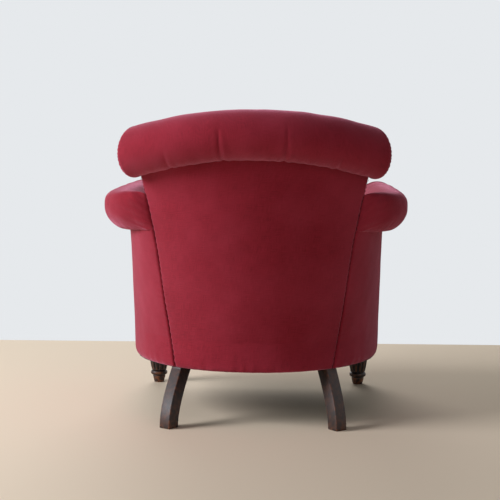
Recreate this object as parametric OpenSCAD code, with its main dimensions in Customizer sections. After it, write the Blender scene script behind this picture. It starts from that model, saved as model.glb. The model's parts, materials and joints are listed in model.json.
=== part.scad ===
// Tub chair with a rolled, deep buttoned back and rolled arms.
// It faces -Y and stands on Z = 0. Left is the sitter's left, +X.
// Every wall of the tub follows one plan curve, which starts at the middle of the back (along = 0),
// reaches the back seam (1), the start of the straight side (2) and the arm front (3).

/* [Tub] */
// Outside width of the tub at its bottom edge
body_w = 632; // [600:1:670]
// How much further each side stands out at the arm than at the bottom edge
side_flare = 8; // [0:1:16]
// Length of the straight part of each side
side_straight = 285; // [265:1:310]
// Height of the bottom edge of the cloth above the floor
base_h = 136; // [128:1:146]
// Height of the top of the back roll
back_h = 770; // [750:1:800]
// How far the tops of the arm rolls lie below the top of the back roll
arm_drop = 198; // [186:1:206]
// How far the crest leans back behind the bottom edge
back_rake = 88; // [70:1:105]

/* [Rolls] */
// Diameter of the back roll
crest_d = 118; // [112:1:126]
// Length of the middle line of the back roll, end to end
crest_w = 600; // [598:1:612]
// How far the ends of the back roll lie below its middle
crest_drop = 48; // [38:1:56]
// How far the ends of the back roll lie in front of its middle
crest_sag = 84; // [70:1:96]
// Diameter of the arm rolls
arm_d = 102; // [98:1:114]
// How far the middle of an arm roll stands out from the side
arm_out = 8; // [4:1:12]

/* [Outside back] */
// Width of the outside back at its bottom edge
panel_w_low = 390; // [368:1:400]
// Width of the outside back under the back roll
panel_w_high = 576; // [562:1:578]
// Thickness of the outside cloth with its wadding
cover_t = 4; // [3:0.5:5]

/* [Legs] */
// Thickness of a back leg across the back
post_t = 32; // [28:1:36]
// Depth of a back leg inside the tub
post_depth = 40; // [36:1:43]
// Depth of a back leg at the floor
foot_depth = 33; // [28:1:38]
// How far a back leg stands out sideways at the floor
leg_splay = 23; // [14:1:28]
// How far a back leg stands back at the floor
leg_rake = 84; // [60:1:90]
// Diameter of a front leg at its shoulder
leg_d = 58; // [52:1:60]
// Diameter of the leg under the reeding
neck_d = 42; // [38:1:44]
// Diameter of the turned ring
ring_d = 47; // [43:1:50]
// Diameter of the front foot at the floor
foot_d = 28; // [25:1:32]
// Number of reeds round a front leg
reeds = 12; // [10:2:14]
// Height of the ring above the floor
ring_h = 34; // [30:1:40]
// Diameter of the spigot on top of a front leg
spigot_d = 22; // [18:1:23]
// Length of that spigot
spigot_h = 55; // [45:1:60]

/* [Frame timber] */
// Thickness of the seat rails
rail_t = 30; // [26:1:33]
// Height of the seat rails
rail_h = 65; // [60:1:72]
// Side of the square leg block
block_w = 58; // [58:1:64]
// Depth of the crest rail, front to back
crest_rail_t = 56; // [50:1:60]
// Height of the crest rail
crest_rail_h = 44; // [38:1:48]
// Width of the arm rail
arm_rail_w = 70; // [62:1:74]
// Thickness of the arm rail
arm_rail_t = 26; // [22:1:28]
// Thickness of the arm post, front to back
arm_post_t = 26; // [22:1:30]
// Height of the tack rails
tack_rail_h = 30; // [24:1:36]
// Thickness of the tack rails
tack_rail_t = 20; // [16:1:24]
// Diameter of the frame dowels
dowel_d = 10; // [8:1:12]
// Length of the frame dowels
dowel_len = 40; // [32:2:40]

/* [Seat] */
// How much the seat crowns above its edge
seat_crown = 26; // [18:1:34]
// Thickness of the seat cover with its top stuffing
seat_t = 44; // [38:1:50]
// Thickness of the first stuffing
stuffing_t = 38; // [32:1:44]
// Height of the springs
spring_h = 150; // [140:1:156]
// Outside diameter of a spring at its ends
spring_d = 84; // [76:1:90]
// Outside diameter of a spring at its waist
waist_d = 54; // [48:1:60]
// Turns of a spring
spring_turns = 4; // [3:1:5]
// Wire of a spring
wire_d = 3.4; // [3:0.1:4]
// Width of the webbing
web_w = 50; // [44:1:54]
// Thickness of the webbing
web_t = 1.6; // [1.4:0.1:2]

/* [Padding] */
// Thickness of the inside arm padding
arm_pad = 34; // [28:1:40]
// Thickness of the inside back padding
back_pad = 70; // [62:1:78]
// How deep the buttons pull the back in
button_pull = 30; // [22:1:34]
// How deep the pleats between the buttons are
pleat_pull = 11; // [6:1:14]
// How deep the pleats over the back roll are
roll_pleat = 4; // [2:0.5:6]
// Diameter of a covered button
button_d = 21; // [18:1:24]
// Thickness of the facings
facing_t = 9; // [7:1:12]

/* [Hidden] */

// Clearance between pieces that meet
fit = 0.3;
// Clearance between the timber and the cover or webbing on it, whose faces are flat between columns
frame_gap = 0.5;
// Further clearance of the flat back of a post inside the round cover
post_clear = 1.1;
// Gap between the outside arm and the outside back along the sewn seam
seam_gap = 0.9;
// Gap between the edge of a roll and the outside cover under it
roll_gap = 0.8;
// Overrun of a cut past the face that it opens
over = 1;
// Thickness of hessian and of the bottom cloth
sheet_t = 1.5;
// How far the rails stand above the bottom edge of the cloth
rail_lift = 8;
// How the corner of the plan is rounded, as a share of its chord
corner_share = 0.354;
// Step along the plan from which a direction is measured
probe_share = 0.01;
// Radial clearance of a spigot or a dowel in its bore
bore_fit = 0.1;
// Height that the inside padding starts above the seat rails
tuck_h = 88;
// Height of the tack rails above the seat rails
tack_lift = 55;

body_r = body_w / 2;
crest_r = crest_d / 2;
crest_half = crest_w / 2;
arm_r = arm_d / 2;
arm_h = back_h - arm_drop;
arm_z = arm_h - arm_r;
crest_z = back_h - crest_r;
rail_z = base_h + rail_lift;
rail_top = rail_z + rail_h;
tuck_z = rail_top + tuck_h;
tack_z = rail_top + tack_lift;
frame_out = -cover_t - frame_gap;
post_out = frame_out - post_clear;
web_out = post_out - post_depth - fit;
pad_out = web_out - web_t - sheet_t - 2 * fit;
arm_face = pad_out - arm_pad;
back_face = pad_out - back_pad;

// A solid through rings of points. Its two end rings are closed by fans about their middles
function loop_faces(rows, count) = [
    for (i = [0:rows - 2], j = [0:count - 1])
        let (k = (j + 1) % count, a = i * count, b = a + count)
            each [[a + j, b + k, a + k], [a + j, b + j, b + k]]
];
function middle_of(ring) = [for (p = ring) 1] * ring / len(ring);
module loft(rings) {
    count = len(rings[0]);
    last = (len(rings) - 1) * count;
    low = len(rings) * count;
    caps = [
        for (j = [0:count - 1])
            let (k = (j + 1) % count) each [[j, k, low], [last + k, last + j, low + 1]]
    ];
    middles = [middle_of(rings[0]), middle_of(rings[len(rings) - 1])];
    polyhedron([for (ring = rings) each ring, each middles], concat(loop_faces(len(rings), count), caps));
}

// A padded skin: each row is an outer line followed by an inner line that runs the same way, and the
// inner line has fewer points. Its two ends are closed between the lines
function zip_cap(outer, inner, first, flip) = [
    for (j = [0:outer - 2])
        let (a = round(j * (inner - 1) / (outer - 1)), b = round((j + 1) * (inner - 1) / (outer - 1)))
            each [
                flip ? [first + j, first + outer + a, first + j + 1]
                    : [first + j, first + j + 1, first + outer + a],
                if (b != a) flip ? [first + j + 1, first + outer + a, first + outer + b]
                    : [first + j + 1, first + outer + b, first + outer + a]
            ]
];
function skin_faces(rows, outer, inner) =
    let (count = outer + inner) [
        for (i = [0:rows - 2]) let (a = i * count, b = a + count) each [
            for (j = [0:outer - 2]) each [[a + j, b + j + 1, a + j + 1], [a + j, b + j, b + j + 1]],
            for (j = [outer:count - 2]) each [[a + j, a + j + 1, b + j + 1], [a + j, b + j + 1, b + j]],
            each [[a, b + outer, b], [a, a + outer, b + outer]],
            each [[a + outer - 1, b + outer - 1, b + count - 1],
                [a + outer - 1, b + count - 1, a + count - 1]]
        ],
        each zip_cap(outer, inner, 0, false),
        each zip_cap(outer, inner, (rows - 1) * count, true)
    ];
module padded(outer_rows, inner_rows) {
    points = [for (i = [0:len(outer_rows) - 1]) each concat(outer_rows[i], inner_rows[i])];
    polyhedron(points, skin_faces(len(outer_rows), len(outer_rows[0]), len(inner_rows[0])));
}

// How far the wall at a height has leaned, from none (0) to what it leans at the crest (1)
// The wall stands upright up to the top of the seat rails
function lean(z) = max(0, z - rail_top) / (crest_z - rail_top);
function mix(a, b, share) = a + (b - a) * share;
function unit(v) = v / norm(v);

// The back wall: a stretch between the round bottom edge and the crest line
function low_y(x) = sqrt(max(0, body_r * body_r - x * x));
function high_y(x) = body_r + back_rake - crest_sag * pow(x / crest_half, 2);
function back_y(x, z) = mix(low_y(x), high_y(x), lean(z));
function seam_x(z) = mix(panel_w_low, panel_w_high, min(1, (z - base_h) / (crest_z - base_h))) / 2;
function side_x(z) = body_r + side_flare * (z - base_h) / (arm_z - base_h);
function back_way(x, z) =
    let (e = body_r * probe_share) unit([2 * e, back_y(x + e, z) - back_y(x - e, z)]);

// The plan curve at a height
function corner(share, z) =
    let (
        a = [seam_x(z), back_y(seam_x(z), z)],
        d = [side_x(z), 0],
        reach = norm(d - a) * corner_share,
        b = a + reach * back_way(a.x, z),
        c = d + [0, reach],
        s = 1 - share
    )
    s * s * s * a + 3 * s * s * share * b + 3 * s * share * share * c + share * share * share * d;
function plan(along, z) =
    along < 1 ? let (x = along * seam_x(z)) [x, back_y(x, z)]
        : along < 2 ? corner(along - 1, z)
        : [side_x(z), (2 - along) * side_straight];
function outward(along, z) =
    let (way = unit(plan(along + probe_share, z) - plan(along - probe_share, z))) [-way.y, way.x];
// A point of the left wall, and a point of the back wall at any x
function wall(along, z, out) =
    let (p = plan(along, z) + out * outward(along, z)) [p.x, p.y, z];
function back_wall(x, z, out) =
    let (way = back_way(x, z), p = [x, back_y(x, z)] + out * [-way.y, way.x]) [p.x, p.y, z];
// The place along the corner that lies a distance past the back seam
function past_seam(distance, z) =
    let (chord = norm(plan(2, z) - plan(1, z))) 1 + distance / (chord * (1 + corner_share / 4));
function crest_line_z(x) = crest_z - crest_drop * pow(x / crest_half, 2);
// A point beside the middle line of the back roll, by its distance outwards and upwards
function crest_spot(x, out, up) = back_wall(x, crest_line_z(x), out) + [0, 0, up];

// The part stands so that its box is centred on the origin
front_reach = side_straight + facing_t + fit;
rear_reach = body_r + back_rake + crest_r;
plan_y = (front_reach - rear_reach) / 2;
module placed() {
    translate([0, plan_y, 0]) children();
}
module both_sides(side) {
    placed() mirror([side == "left" ? 0 : 1, 0, 0]) children();
}

// Covers

// Number of steps of a panel along its length and up its height
panel_steps = 20;
corner_steps = 12;
side_steps = 2;
rise_steps = 7;
// Height of the top edge of the outside panels, under the rail that each is tacked to
arm_rail_low = arm_z - arm_rail_t / 2;
function share(i, steps) = i / steps;
// Heights up a panel: its bottom edge, the top of the seat rails, and then equal steps to its top
function panel_z(i, top) = i == 0 ? base_h : mix(rail_top, top, share(i - 1, rise_steps - 1));
function panel_top(x) = crest_line_z(x) - crest_rail_h / 2 - fit;

module outside_back() {
    function row(i, out) =
        let (s = mix(-1, 1, share(i, panel_steps)), top = panel_top(s * panel_w_high / 2)) [
            for (j = [0:rise_steps]) let (z = panel_z(j, top)) back_wall(s * seam_x(z), z, out)
        ];
    color("firebrick") placed()
        padded([for (i = [0:panel_steps]) row(i, 0)], [for (i = [0:panel_steps]) row(i, -cover_t)]);
}

// The outside arm meets the outside back at the seam
arm_ways = [
    for (i = [0:corner_steps]) 1 + share(i, corner_steps),
    for (i = [1:side_steps]) 2 + share(i, side_steps)
];
module outside_arm(side) {
    function row(along, out) = [
        for (j = [0:rise_steps])
            let (z = panel_z(j, arm_rail_low - fit)) wall(along == 1 ? past_seam(seam_gap, z) : along, z, out)
    ];
    color("firebrick") both_sides(side)
        padded([for (along = arm_ways) row(along, 0)], [for (along = arm_ways) row(along, -cover_t)]);
}

module outside_arm_left() { outside_arm("left"); }
module outside_arm_right() { outside_arm("right"); }

// The back post, and the plane beside it where the inside arm meets the inside back
function post_x(z) = mix(panel_w_low, panel_w_high - post_t, lean(z)) / 2;
function beside_post(z, out, gap) =
    let (x = post_x(z), way = back_way(x, z), p = back_wall(x, z, out), t = post_t / 2 + gap)
        [p.x + way.x * t, p.y + way.y * t, z];
function ease(s) = let (t = max(0, min(1, s))) t * t * (3 - 2 * t);

// Inside arm with its roll. The roll swells from nothing at the back post to its full width
swell_len = 36;
least_swell = 0.12;
face_steps = 7;
arc_steps = 12;
// Gap that keeps the arm clear of the post, whose side is not quite square to the wall
post_gap = 2.5;
arm_end_angle = -acos((roll_gap - arm_out) / arm_r);
arm_rail_in = arm_out - arm_rail_w / 2;
arm_rail_far = arm_out + arm_rail_w / 2;
function swell(distance) =
    let (s = max(0, 1 - distance / swell_len)) max(least_swell, sqrt(1 - s * s));
function arm_rail_reach(grown) = mix(frame_out, arm_rail_far, grown);
function arm_outer_line(grown) = [
    for (j = [0:face_steps - 1])
        let (s = share(j, face_steps), z = mix(tuck_z, arm_z, s)) [mix(arm_face, arm_out - arm_r, ease(s)), z],
    for (j = [0:arc_steps])
        let (angle = mix(180, arm_end_angle, share(j, arc_steps)), out = arm_out + arm_r * cos(angle))
            [out > roll_gap ? mix(roll_gap, out, grown) : out, arm_z + arm_r * sin(angle)]
];
function arm_inner_line(grown) =
    let (
        low = arm_rail_low - fit,
        high = arm_rail_low + arm_rail_t + fit,
        near = arm_rail_in - fit,
        far = arm_rail_reach(grown) + fit
    )
    [[pad_out, tuck_z], [pad_out, low], [near, low + 2 * fit], [near, high], [far, high], [far, low],
        [min(far, roll_gap), low - fit]];
arm_stop_shares = [0, 0.18, 0.4, 0.68, 1];
// Places along the arm, from the post to where it ends at the front: a distance past the post while the
// roll swells, and then a place along the wall
function arm_places(end) = [
    for (stop = arm_stop_shares) [stop * swell_len, 0],
    for (i = [2:corner_steps]) [swell_len, 1 + share(i, corner_steps)],
    for (i = [1:side_steps]) [swell_len, mix(2, end, share(i, side_steps))]
];
function backwards(list) = [for (i = [len(list) - 1:-1:0]) list[i]];
// Beside the post the arm is square to it, and then it turns into the line of the wall
function arm_point(place, p) =
    place[1] != 0 ? wall(place[1], p[1], p[0])
        : mix(
            beside_post(p[1], p[0], post_gap + place[0]),
            wall(past_seam(post_gap + place[0], p[1]), p[1], p[0]),
            place[0] / swell_len
        );
module inside_arm(side) {
    places = backwards(arm_places(3));
    color("firebrick") both_sides(side)
        padded(
            [for (place = places) [for (p = arm_outer_line(swell(place[0]))) arm_point(place, p)]],
            [for (place = places) [for (p = arm_inner_line(swell(place[0]))) arm_point(place, p)]]
        );
}
module inside_arm_left() { inside_arm("left"); }
module inside_arm_right() { inside_arm("right"); }

// Inside back with its roll: a diamond of buttons, a pleat between each two neighbours, and a pleat from
// each button of the top row over the roll

// Rows of buttons: height as a share of the face, and places across as shares of the half width
button_rows_shares = [
    [5 / 15, [-11 / 16, -4 / 16, 4 / 16, 11 / 16]],
    [9 / 15, [-7 / 16, 0, 7 / 16]],
    [12 / 15, [-11 / 16, -4 / 16, 4 / 16, 11 / 16]]
];
back_columns = 32;
back_face_steps = 15;
back_arc_steps = 12;
board_t = 10;
end_pad = 9;
end_len = board_t + end_pad;
// Share of the height of the face that is flat before it turns into the roll
flat_share = 0.62;
button_reach = 24;
pleat_reach = 9;
function crest_slope(x) = -2 * crest_drop * x / (crest_half * crest_half);
roll_end = crest_half - end_len * back_way(crest_half, crest_z).x;
function back_edge_x(z) = mix(beside_post(tuck_z, 0, 0).x, roll_end, (z - tuck_z) / (crest_z - tuck_z));
function face_z(s, v) = mix(tuck_z, crest_line_z(s * roll_end), v);
function face_spot(s, v) = let (z = face_z(s, v)) [s * back_edge_x(z), z];
button_spots = [for (row = button_rows_shares) [for (s = row[1]) face_spot(s, row[0])]];
all_spots = [for (row = button_spots) each row];
function pleats_between(low, high) = [
    for (a = low, b = high) if (abs(a.x - b.x) < panel_w_low / 3) [a, b]
];
pleat_lines = [
    for (i = [0:len(button_spots) - 2]) each pleats_between(button_spots[i], button_spots[i + 1]),
    for (a = button_spots[0]) [a, [a.x, tuck_z]],
    for (a = button_spots[2]) [a, [a.x * crest_w / panel_w_high, crest_z]]
];
function off_line(p, line) =
    let (d = line[1] - line[0], t = max(0, min(1, (p - line[0]) * d / (d * d)))) norm(p - line[0] - t * d);
function dip(distance, reach) = exp(-pow(distance / reach, 2));
function back_pull(p) = max(
    max([for (spot = all_spots) button_pull * dip(norm(p - spot), button_reach)]),
    max([for (line = pleat_lines) pleat_pull * dip(off_line(p, line), pleat_reach)])
);
function roll_pull(x) =
    roll_pleat * max([for (a = button_spots[2]) dip(x - a.x * crest_w / panel_w_high, pleat_reach)]);
function edge_fade(s) = 1 - pow(abs(s), 6);
function back_depth(s, v) =
    let (side = mix(back_face, arm_face, pow(abs(s), 4)), top = ease((v - flat_share) / (1 - flat_share)))
    mix(side, -crest_r, top);
function back_outer_row(s) =
    let (x = s * roll_end, zc = crest_line_z(x), tall = norm([1, crest_slope(x)])) [
        for (j = [0:back_face_steps - 1])
            let (v = share(j, back_face_steps), p = face_spot(s, v))
                back_wall(p.x, p.y, back_depth(s, v) + back_pull(p) * edge_fade(s)),
        for (j = [0:back_arc_steps])
            let (
                angle = mix(180, -90, share(j, back_arc_steps)),
                r = crest_r - roll_pull(x) * edge_fade(s),
                out = j == back_arc_steps ? roll_gap : r * cos(angle)
            )
                crest_spot(x, out, r * tall * sin(angle))
    ];
function back_inner_row(s) =
    let (
        x = s * roll_end,
        zc = crest_line_z(x),
        far = crest_rail_t / 2 + fit,
        low = zc - crest_rail_h / 2 - fit,
        high = zc + crest_rail_h / 2 + fit,
        line = [[-far, low + 2 * fit], [-far, high], [far, high], [far, low], [roll_gap, low]]
    ) [
        for (rise = [0, 0.25, 0.5, 0.75])
            let (z = mix(tuck_z, low, rise)) back_wall(s * back_edge_x(z), z, pad_out),
        back_wall(x, low + 2 * fit, pad_out),
        for (p = line) crest_spot(x, p.x, p.y - zc)
    ];
module inside_back() {
    stops = [for (i = [0:back_columns]) mix(1, -1, share(i, back_columns))];
    color("firebrick") placed()
        padded([for (s = stops) back_outer_row(s)], [for (s = stops) back_inner_row(s)]);
}

// A frame at the left end of the back roll, with its Z axis along the roll
module at_roll_end() {
    way = back_way(roll_end, crest_line_z(roll_end));
    translate(crest_spot(roll_end, 0, 0)) rotate([0, 0, atan2(way.y, way.x)]) rotate([0, 90, 0]) children();
}
board_inset = 16;
board_r = crest_r - board_inset;
facing_round = 24;
round_steps = 6;
module crest_board(side) {
    color("burlywood") both_sides(side) at_roll_end()
        translate([0, 0, fit]) cylinder(h = board_t, r = board_r, $fn = 48);
}
module crest_board_left() { crest_board("left"); }
module crest_board_right() { crest_board("right"); }

// Round facing of the back roll, a cap over the board
module back_facing(side) {
    outline = [
        [0, end_len],
        for (i = [0:round_steps])
            let (angle = mix(90, 0, share(i, round_steps)))
                [crest_r - facing_round * (1 - cos(angle)), (end_len - 2 * fit) * sin(angle) + 2 * fit],
        [board_r + fit, 2 * fit],
        [board_r + fit, board_t + 2 * fit],
        [0, board_t + 2 * fit]
    ];
    color("firebrick") both_sides(side) at_roll_end() rotate_extrude($fn = 48) polygon(outline);
}
module back_facing_left() { back_facing("left"); }
module back_facing_right() { back_facing("right"); }

// Covered buttons, each on a pointed shank that comes out of the bottom of its dimple
button_h = 7;
button_lip = 2;
shank_d = 2.4;
button_stand = 14;
module button() {
    rotate_extrude($fn = 32) polygon([
        [0, fit], [shank_d / 2, fit + shank_d], [shank_d / 2, button_stand],
        [button_d / 2, button_stand + button_lip],
        for (i = [1:4])
            let (angle = 90 * share(i, 4))
                [button_d / 2 * cos(angle), button_stand + button_lip + (button_h - button_lip) * sin(angle)]
    ]);
}
module back_buttons() {
    color("firebrick") placed()
        for (row = button_rows_shares, s = row[1]) {
            p = face_spot(s, row[0]);
            way = back_way(p.x, p.y);
            out = back_depth(s, row[0]) + back_pull(p) * edge_fade(s);
            translate(back_wall(p.x, p.y, out)) rotate([0, 0, atan2(way.y, way.x)]) rotate([90, 0, 0]) button();
        }
}

// Seat

web_step = 100;
swing_share = 0.72;
web_swing = (web_t + fit) * swing_share;
web_z = rail_z - fit - web_swing - web_t / 2;
spring_z = web_z + web_t / 2 + fit;
twine_d = 3;
twine_z = spring_z + spring_h + fit;
hessian_z = twine_z + 2 * twine_d + fit;
stuffing_z = hessian_z + sheet_t + fit;
seat_z = stuffing_z + stuffing_t + fit;

// Half of the seat's outline, front to back: place along the wall
seat_ways = [for (i = [3:-1:0]) 2 + share(i, 3), for (i = [5:-1:0]) 1 + share(i, 6), for (i = [2:-1:1]) share(i, 3)];
front_spots = 4;
function seat_out(along, z) =
    let (s = min(1, along)) mix(back_face, arm_face, pow(s, 4)) - 2 * fit;
function seat_side(z, inset) = [
    for (along = seat_ways) let (p = wall(min(along, 3 - probe_share), z, seat_out(along, z) - inset)) [p.x, p.y]
];
// The whole outline at a height, counter-clockwise, drawn in by an inset, with its front edge at front_y
function seat_outline(z, inset, front_y) =
    let (
        side = seat_side(z, inset),
        corner_x = side[0].x,
        y = front_y + inset,
        middle = wall(0, z, back_face - 2 * fit - inset)
    ) [
        for (i = [1:front_spots - 1]) [mix(-corner_x, corner_x, share(i, front_spots)), y],
        [corner_x, y],
        for (i = [1:len(side) - 1]) side[i],
        [middle.x, middle.y],
        for (i = [len(side) - 1:-1:1]) [-side[i].x, side[i].y],
        [-corner_x, y]
    ];
function lifted(outline, z) = [for (p = outline) [p.x, p.y, z]];
function drawn(outline, share) =
    let (centre = [0, -side_straight * share]) [for (p = outline) centre + (p - centre) * share];
// A stuffed slab: its edge bulges between the heights, and its top crowns towards the middle
module stuffed(z, height, crown, front_y, edge) {
    middle = z + height / 2;
    top = z + height;
    rim = seat_outline(middle, edge, front_y);
    loft([
        lifted(seat_outline(z, edge, front_y), z),
        lifted(seat_outline(middle, 0, front_y), middle),
        lifted(seat_outline(top, edge, front_y), top),
        for (share = [0.9, 0.72, 0.5, 0.25]) lifted(drawn(rim, share), top + crown * (1 - share * share))
    ]);
}
seat_edge = 8;
stuffing_edge = 4;
module seat_cover() {
    color("firebrick") placed()
        stuffed(seat_z, seat_t, seat_crown, -side_straight - facing_t, seat_edge);
}
module seat_stuffing() {
    color("tan") placed() stuffed(stuffing_z, stuffing_t, 0, -side_straight, stuffing_edge);
}
module spring_hessian() {
    color("peru") placed() loft([
        lifted(seat_outline(hessian_z, stuffing_edge, -side_straight), hessian_z),
        lifted(seat_outline(hessian_z, stuffing_edge, -side_straight), hessian_z + sheet_t)
    ]);
}

// Double cone springs, each one wire wound from its bottom ring through its waist to its top ring
spring_row_y = [-205, -75, 65];
spring_row_x = [[-140, 0, 140], [-140, 0, 140], [-75, 75]];
curl_rings = 8;
wire_sides = 6;
module wire_coil(height, wide, narrow, turns, wire) {
    rings = turns * curl_rings;
    function spot(i) =
        let (s = i / rings, r = mix(narrow, wide, pow(abs(2 * s - 1), 1.5)) / 2 - wire / 2, angle = 360 * i / curl_rings)
            [r, angle, wire / 2 + (height - wire) * s];
    loft([
        for (i = [0:rings]) let (p = spot(i)) [
            for (k = [0:wire_sides - 1])
                let (a = -360 * k / wire_sides, r = p.x + wire / 2 * cos(a))
                    [r * cos(p.y), r * sin(p.y), p.z + wire / 2 * sin(a)]
        ]
    ]);
}
module seat_springs() {
    color("gray") placed()
        for (i = [0:len(spring_row_y) - 1], x = spring_row_x[i])
            translate([x, spring_row_y[i], spring_z])
                wire_coil(spring_h, spring_d, waist_d, spring_turns, wire_d);
}
module spring_twine() {
    reach = spring_d / 2;
    color("wheat") placed() {
        for (i = [0:len(spring_row_y) - 1])
            let (ends = spring_row_x[i], half = ends[len(ends) - 1] + reach)
                translate([-half, spring_row_y[i], twine_z + twine_d / 2])
                    rotate([0, 90, 0]) cylinder(h = 2 * half, d = twine_d, $fn = 16);
        for (x = spring_row_x[0])
            translate([x, spring_row_y[0] - reach, twine_z + twine_d + bore_fit + twine_d / 2])
                rotate([-90, 0, 0])
                    cylinder(h = spring_row_y[1] - spring_row_y[0] + 2 * reach, d = twine_d, $fn = 16);
    }
}

// Webbing: long and cross strips that pass over and under each other below the rails
web_spots_x = [-200, -100, 0, 100, 200];
web_spots_y = [-190, -90, 10, 110];
module strip(from, to, place, first, sign, cross) {
    pieces = round((to - from) / web_step * 4);
    loft([
        for (i = [0:pieces])
            let (
                t = mix(from, to, share(i, pieces)),
                z = web_z + sign * web_swing * cos(180 * (t - first) / web_step)
            ) [
                for (c = [[-1, -1], [1, -1], [1, 1], [-1, 1]])
                    let (side = place + c.x * web_w / 2, up = z + c.y * web_t / 2)
                        cross ? [t, side, up] : [-side, t, up]
            ]
    ]);
}
module seat_webbing_long() {
    color("darkkhaki") placed()
        for (i = [0:len(web_spots_x) - 1]) {
            x = web_spots_x[i];
            back = low_y(abs(x) + web_w / 2) + frame_out - rail_t / 2;
            strip(rail_t / 2 - side_straight, back, -x, web_spots_y[0], i % 2 == 0 ? 1 : -1, false);
        }
}
module seat_webbing_cross() {
    color("darkkhaki") placed()
        for (i = [0:len(web_spots_y) - 1]) {
            y = web_spots_y[i];
            half = low_y(max(0, y + web_w / 2)) + frame_out - rail_t / 2;
            strip(-half, half, y, web_spots_x[0], i % 2 == 0 ? -1 : 1, true);
        }
}

// Frame

post_angle = asin(panel_w_low / body_w);
rail_r = body_r + frame_out;
block_x = rail_r - block_w / 2;
block_y = -side_straight + block_w / 2;

// Back leg and upright, sawn from one board. Each ring is a rectangle across the board
leg_ring_shares = [0, 0.15, 0.3, 0.45, 0.6, 0.75, 0.88, 1];
// How a back leg sweeps out and back towards the floor
function leg_sweep(z) = cos(90 * min(1, z / base_h)) * [leg_splay, leg_rake];
function leg_depth(z) = mix(foot_depth, post_depth, min(1, z / base_h));
function post_ring(z, out, depth) = [
    for (c = [[-1, -depth], [1, -depth], [1, 0], [-1, 0]])
        let (
            x = post_x(z),
            way = back_way(x, max(z, rail_z)),
            p = back_wall(x, max(z, rail_z), out + c.y)
        )
            [each [p.x, p.y] + way * c.x * post_t / 2 + leg_sweep(z), z]
];
post_bend_shares = [0, 0.33, 0.66, 1];
module back_leg(side) {
    // The post ends under the lowest part of the crest rail over it
    post_high = crest_line_z(post_x(crest_z) + post_t / 2) - crest_rail_h / 2 - fit;
    color([0.13, 0.08, 0.06]) both_sides(side)
        loft([
            for (share = leg_ring_shares)
                let (z = share * base_h) post_ring(z, post_out, leg_depth(z)),
            for (share = post_bend_shares)
                post_ring(mix(rail_top, post_high, share), post_out, post_depth)
        ]);
}
module back_leg_left() { back_leg("left"); }
module back_leg_right() { back_leg("right"); }

// Front leg: a reeded taper over a turned ring and a small foot, with a spigot that the block holds
reed_top_r = leg_d / 2 - fit;
reed_h = rail_z - ring_h;
collar_h = 8;
reed_depth = 3.2;
reed_spots = 6;
// Rings of the taper: share of its height, and share of the way from the neck to the shoulder
taper_shares = [[0.2, 0.5], [0.5, 0.93]];
// The foot: how much it swells, the shares of the height below the reeding at which it is widest and
// narrowest, and half of the share that the ring takes
foot_swell = 3.6;
foot_shares = [0.48, 0.6];
ring_share = 0.19;
module reeded_taper() {
    function ring(z, r) = [
        for (i = [0:reeds * reed_spots - 1])
            let (angle = 360 * i / (reeds * reed_spots), dip = abs(sin(angle * reeds / 2)))
                [(r - reed_depth + reed_depth * dip) * cos(angle), (r - reed_depth + reed_depth * dip) * sin(angle), z]
    ];
    loft([
        ring(ring_h * (1 - ring_share / 2), neck_d / 2),
        for (s = taper_shares) ring(ring_h + reed_h * s[0], mix(neck_d / 2, reed_top_r, s[1])),
        ring(rail_z - collar_h / 2, reed_top_r)
    ]);
}
module turned_parts() {
    neck_r = neck_d / 2 - reed_depth;
    rotate_extrude($fn = 64) polygon([
        [0, 0], [foot_d / 2, 0], [foot_d / 2 + foot_swell, ring_h * foot_shares[0]], [neck_r, ring_h * foot_shares[1]],
        for (i = [0:6])
            let (angle = mix(-90, 90, share(i, 6)))
                [neck_r + (ring_d / 2 - neck_r) * cos(angle), ring_h * (1 - ring_share + ring_share * sin(angle))],
        [0, ring_h + fit]
    ]);
    translate([0, 0, rail_z - collar_h]) cylinder(h = collar_h, d = leg_d, $fn = 64);
    translate([0, 0, rail_z - collar_h / 2]) cylinder(h = collar_h / 2 + spigot_h, d = spigot_d, $fn = 48);
}
module front_leg(side) {
    color([0.13, 0.08, 0.06]) both_sides(side) translate([block_x, block_y, 0]) {
        reeded_taper();
        turned_parts();
    }
}
module front_leg_left() { front_leg("left"); }
module front_leg_right() { front_leg("right"); }

// Dowels between the rails and the leg blocks
dowel_rows_shares = [0.28, 0.72];
module dowel_places(extra) {
    for (share = dowel_rows_shares) {
        z = rail_z + rail_h * share;
        translate([block_x - block_w / 2 - dowel_len / 2 - extra, rail_t / 2 - side_straight, z])
            rotate([0, 90, 0]) cylinder(h = dowel_len + 2 * extra, d = dowel_d + 2 * extra, $fn = 32);
        translate([rail_r - rail_t / 2, block_y + block_w / 2 - dowel_len / 2 - extra, z])
            rotate([-90, 0, 0]) cylinder(h = dowel_len + 2 * extra, d = dowel_d + 2 * extra, $fn = 32);
    }
}
module rail_dowels() {
    color("burlywood") placed() for (flip = [0, 1]) mirror([flip, 0, 0]) dowel_places(0);
}
module leg_block(side) {
    color("burlywood") both_sides(side) difference() {
        translate([block_x - block_w / 2, block_y - block_w / 2, rail_z]) cube([block_w, block_w, rail_h]);
        translate([block_x, block_y, rail_z - over])
            cylinder(h = spigot_h + over + bore_fit, d = spigot_d + 2 * bore_fit, $fn = 48);
        dowel_places(bore_fit);
    }
}
module leg_block_left() { leg_block("left"); }
module leg_block_right() { leg_block("right"); }
module seat_rail_front() {
    half = block_x - block_w / 2;
    color("burlywood") placed() difference() {
        translate([-half, -side_straight, rail_z]) cube([2 * half, rail_t, rail_h]);
        for (flip = [0, 1]) mirror([flip, 0, 0]) dowel_places(bore_fit);
    }
}
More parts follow.
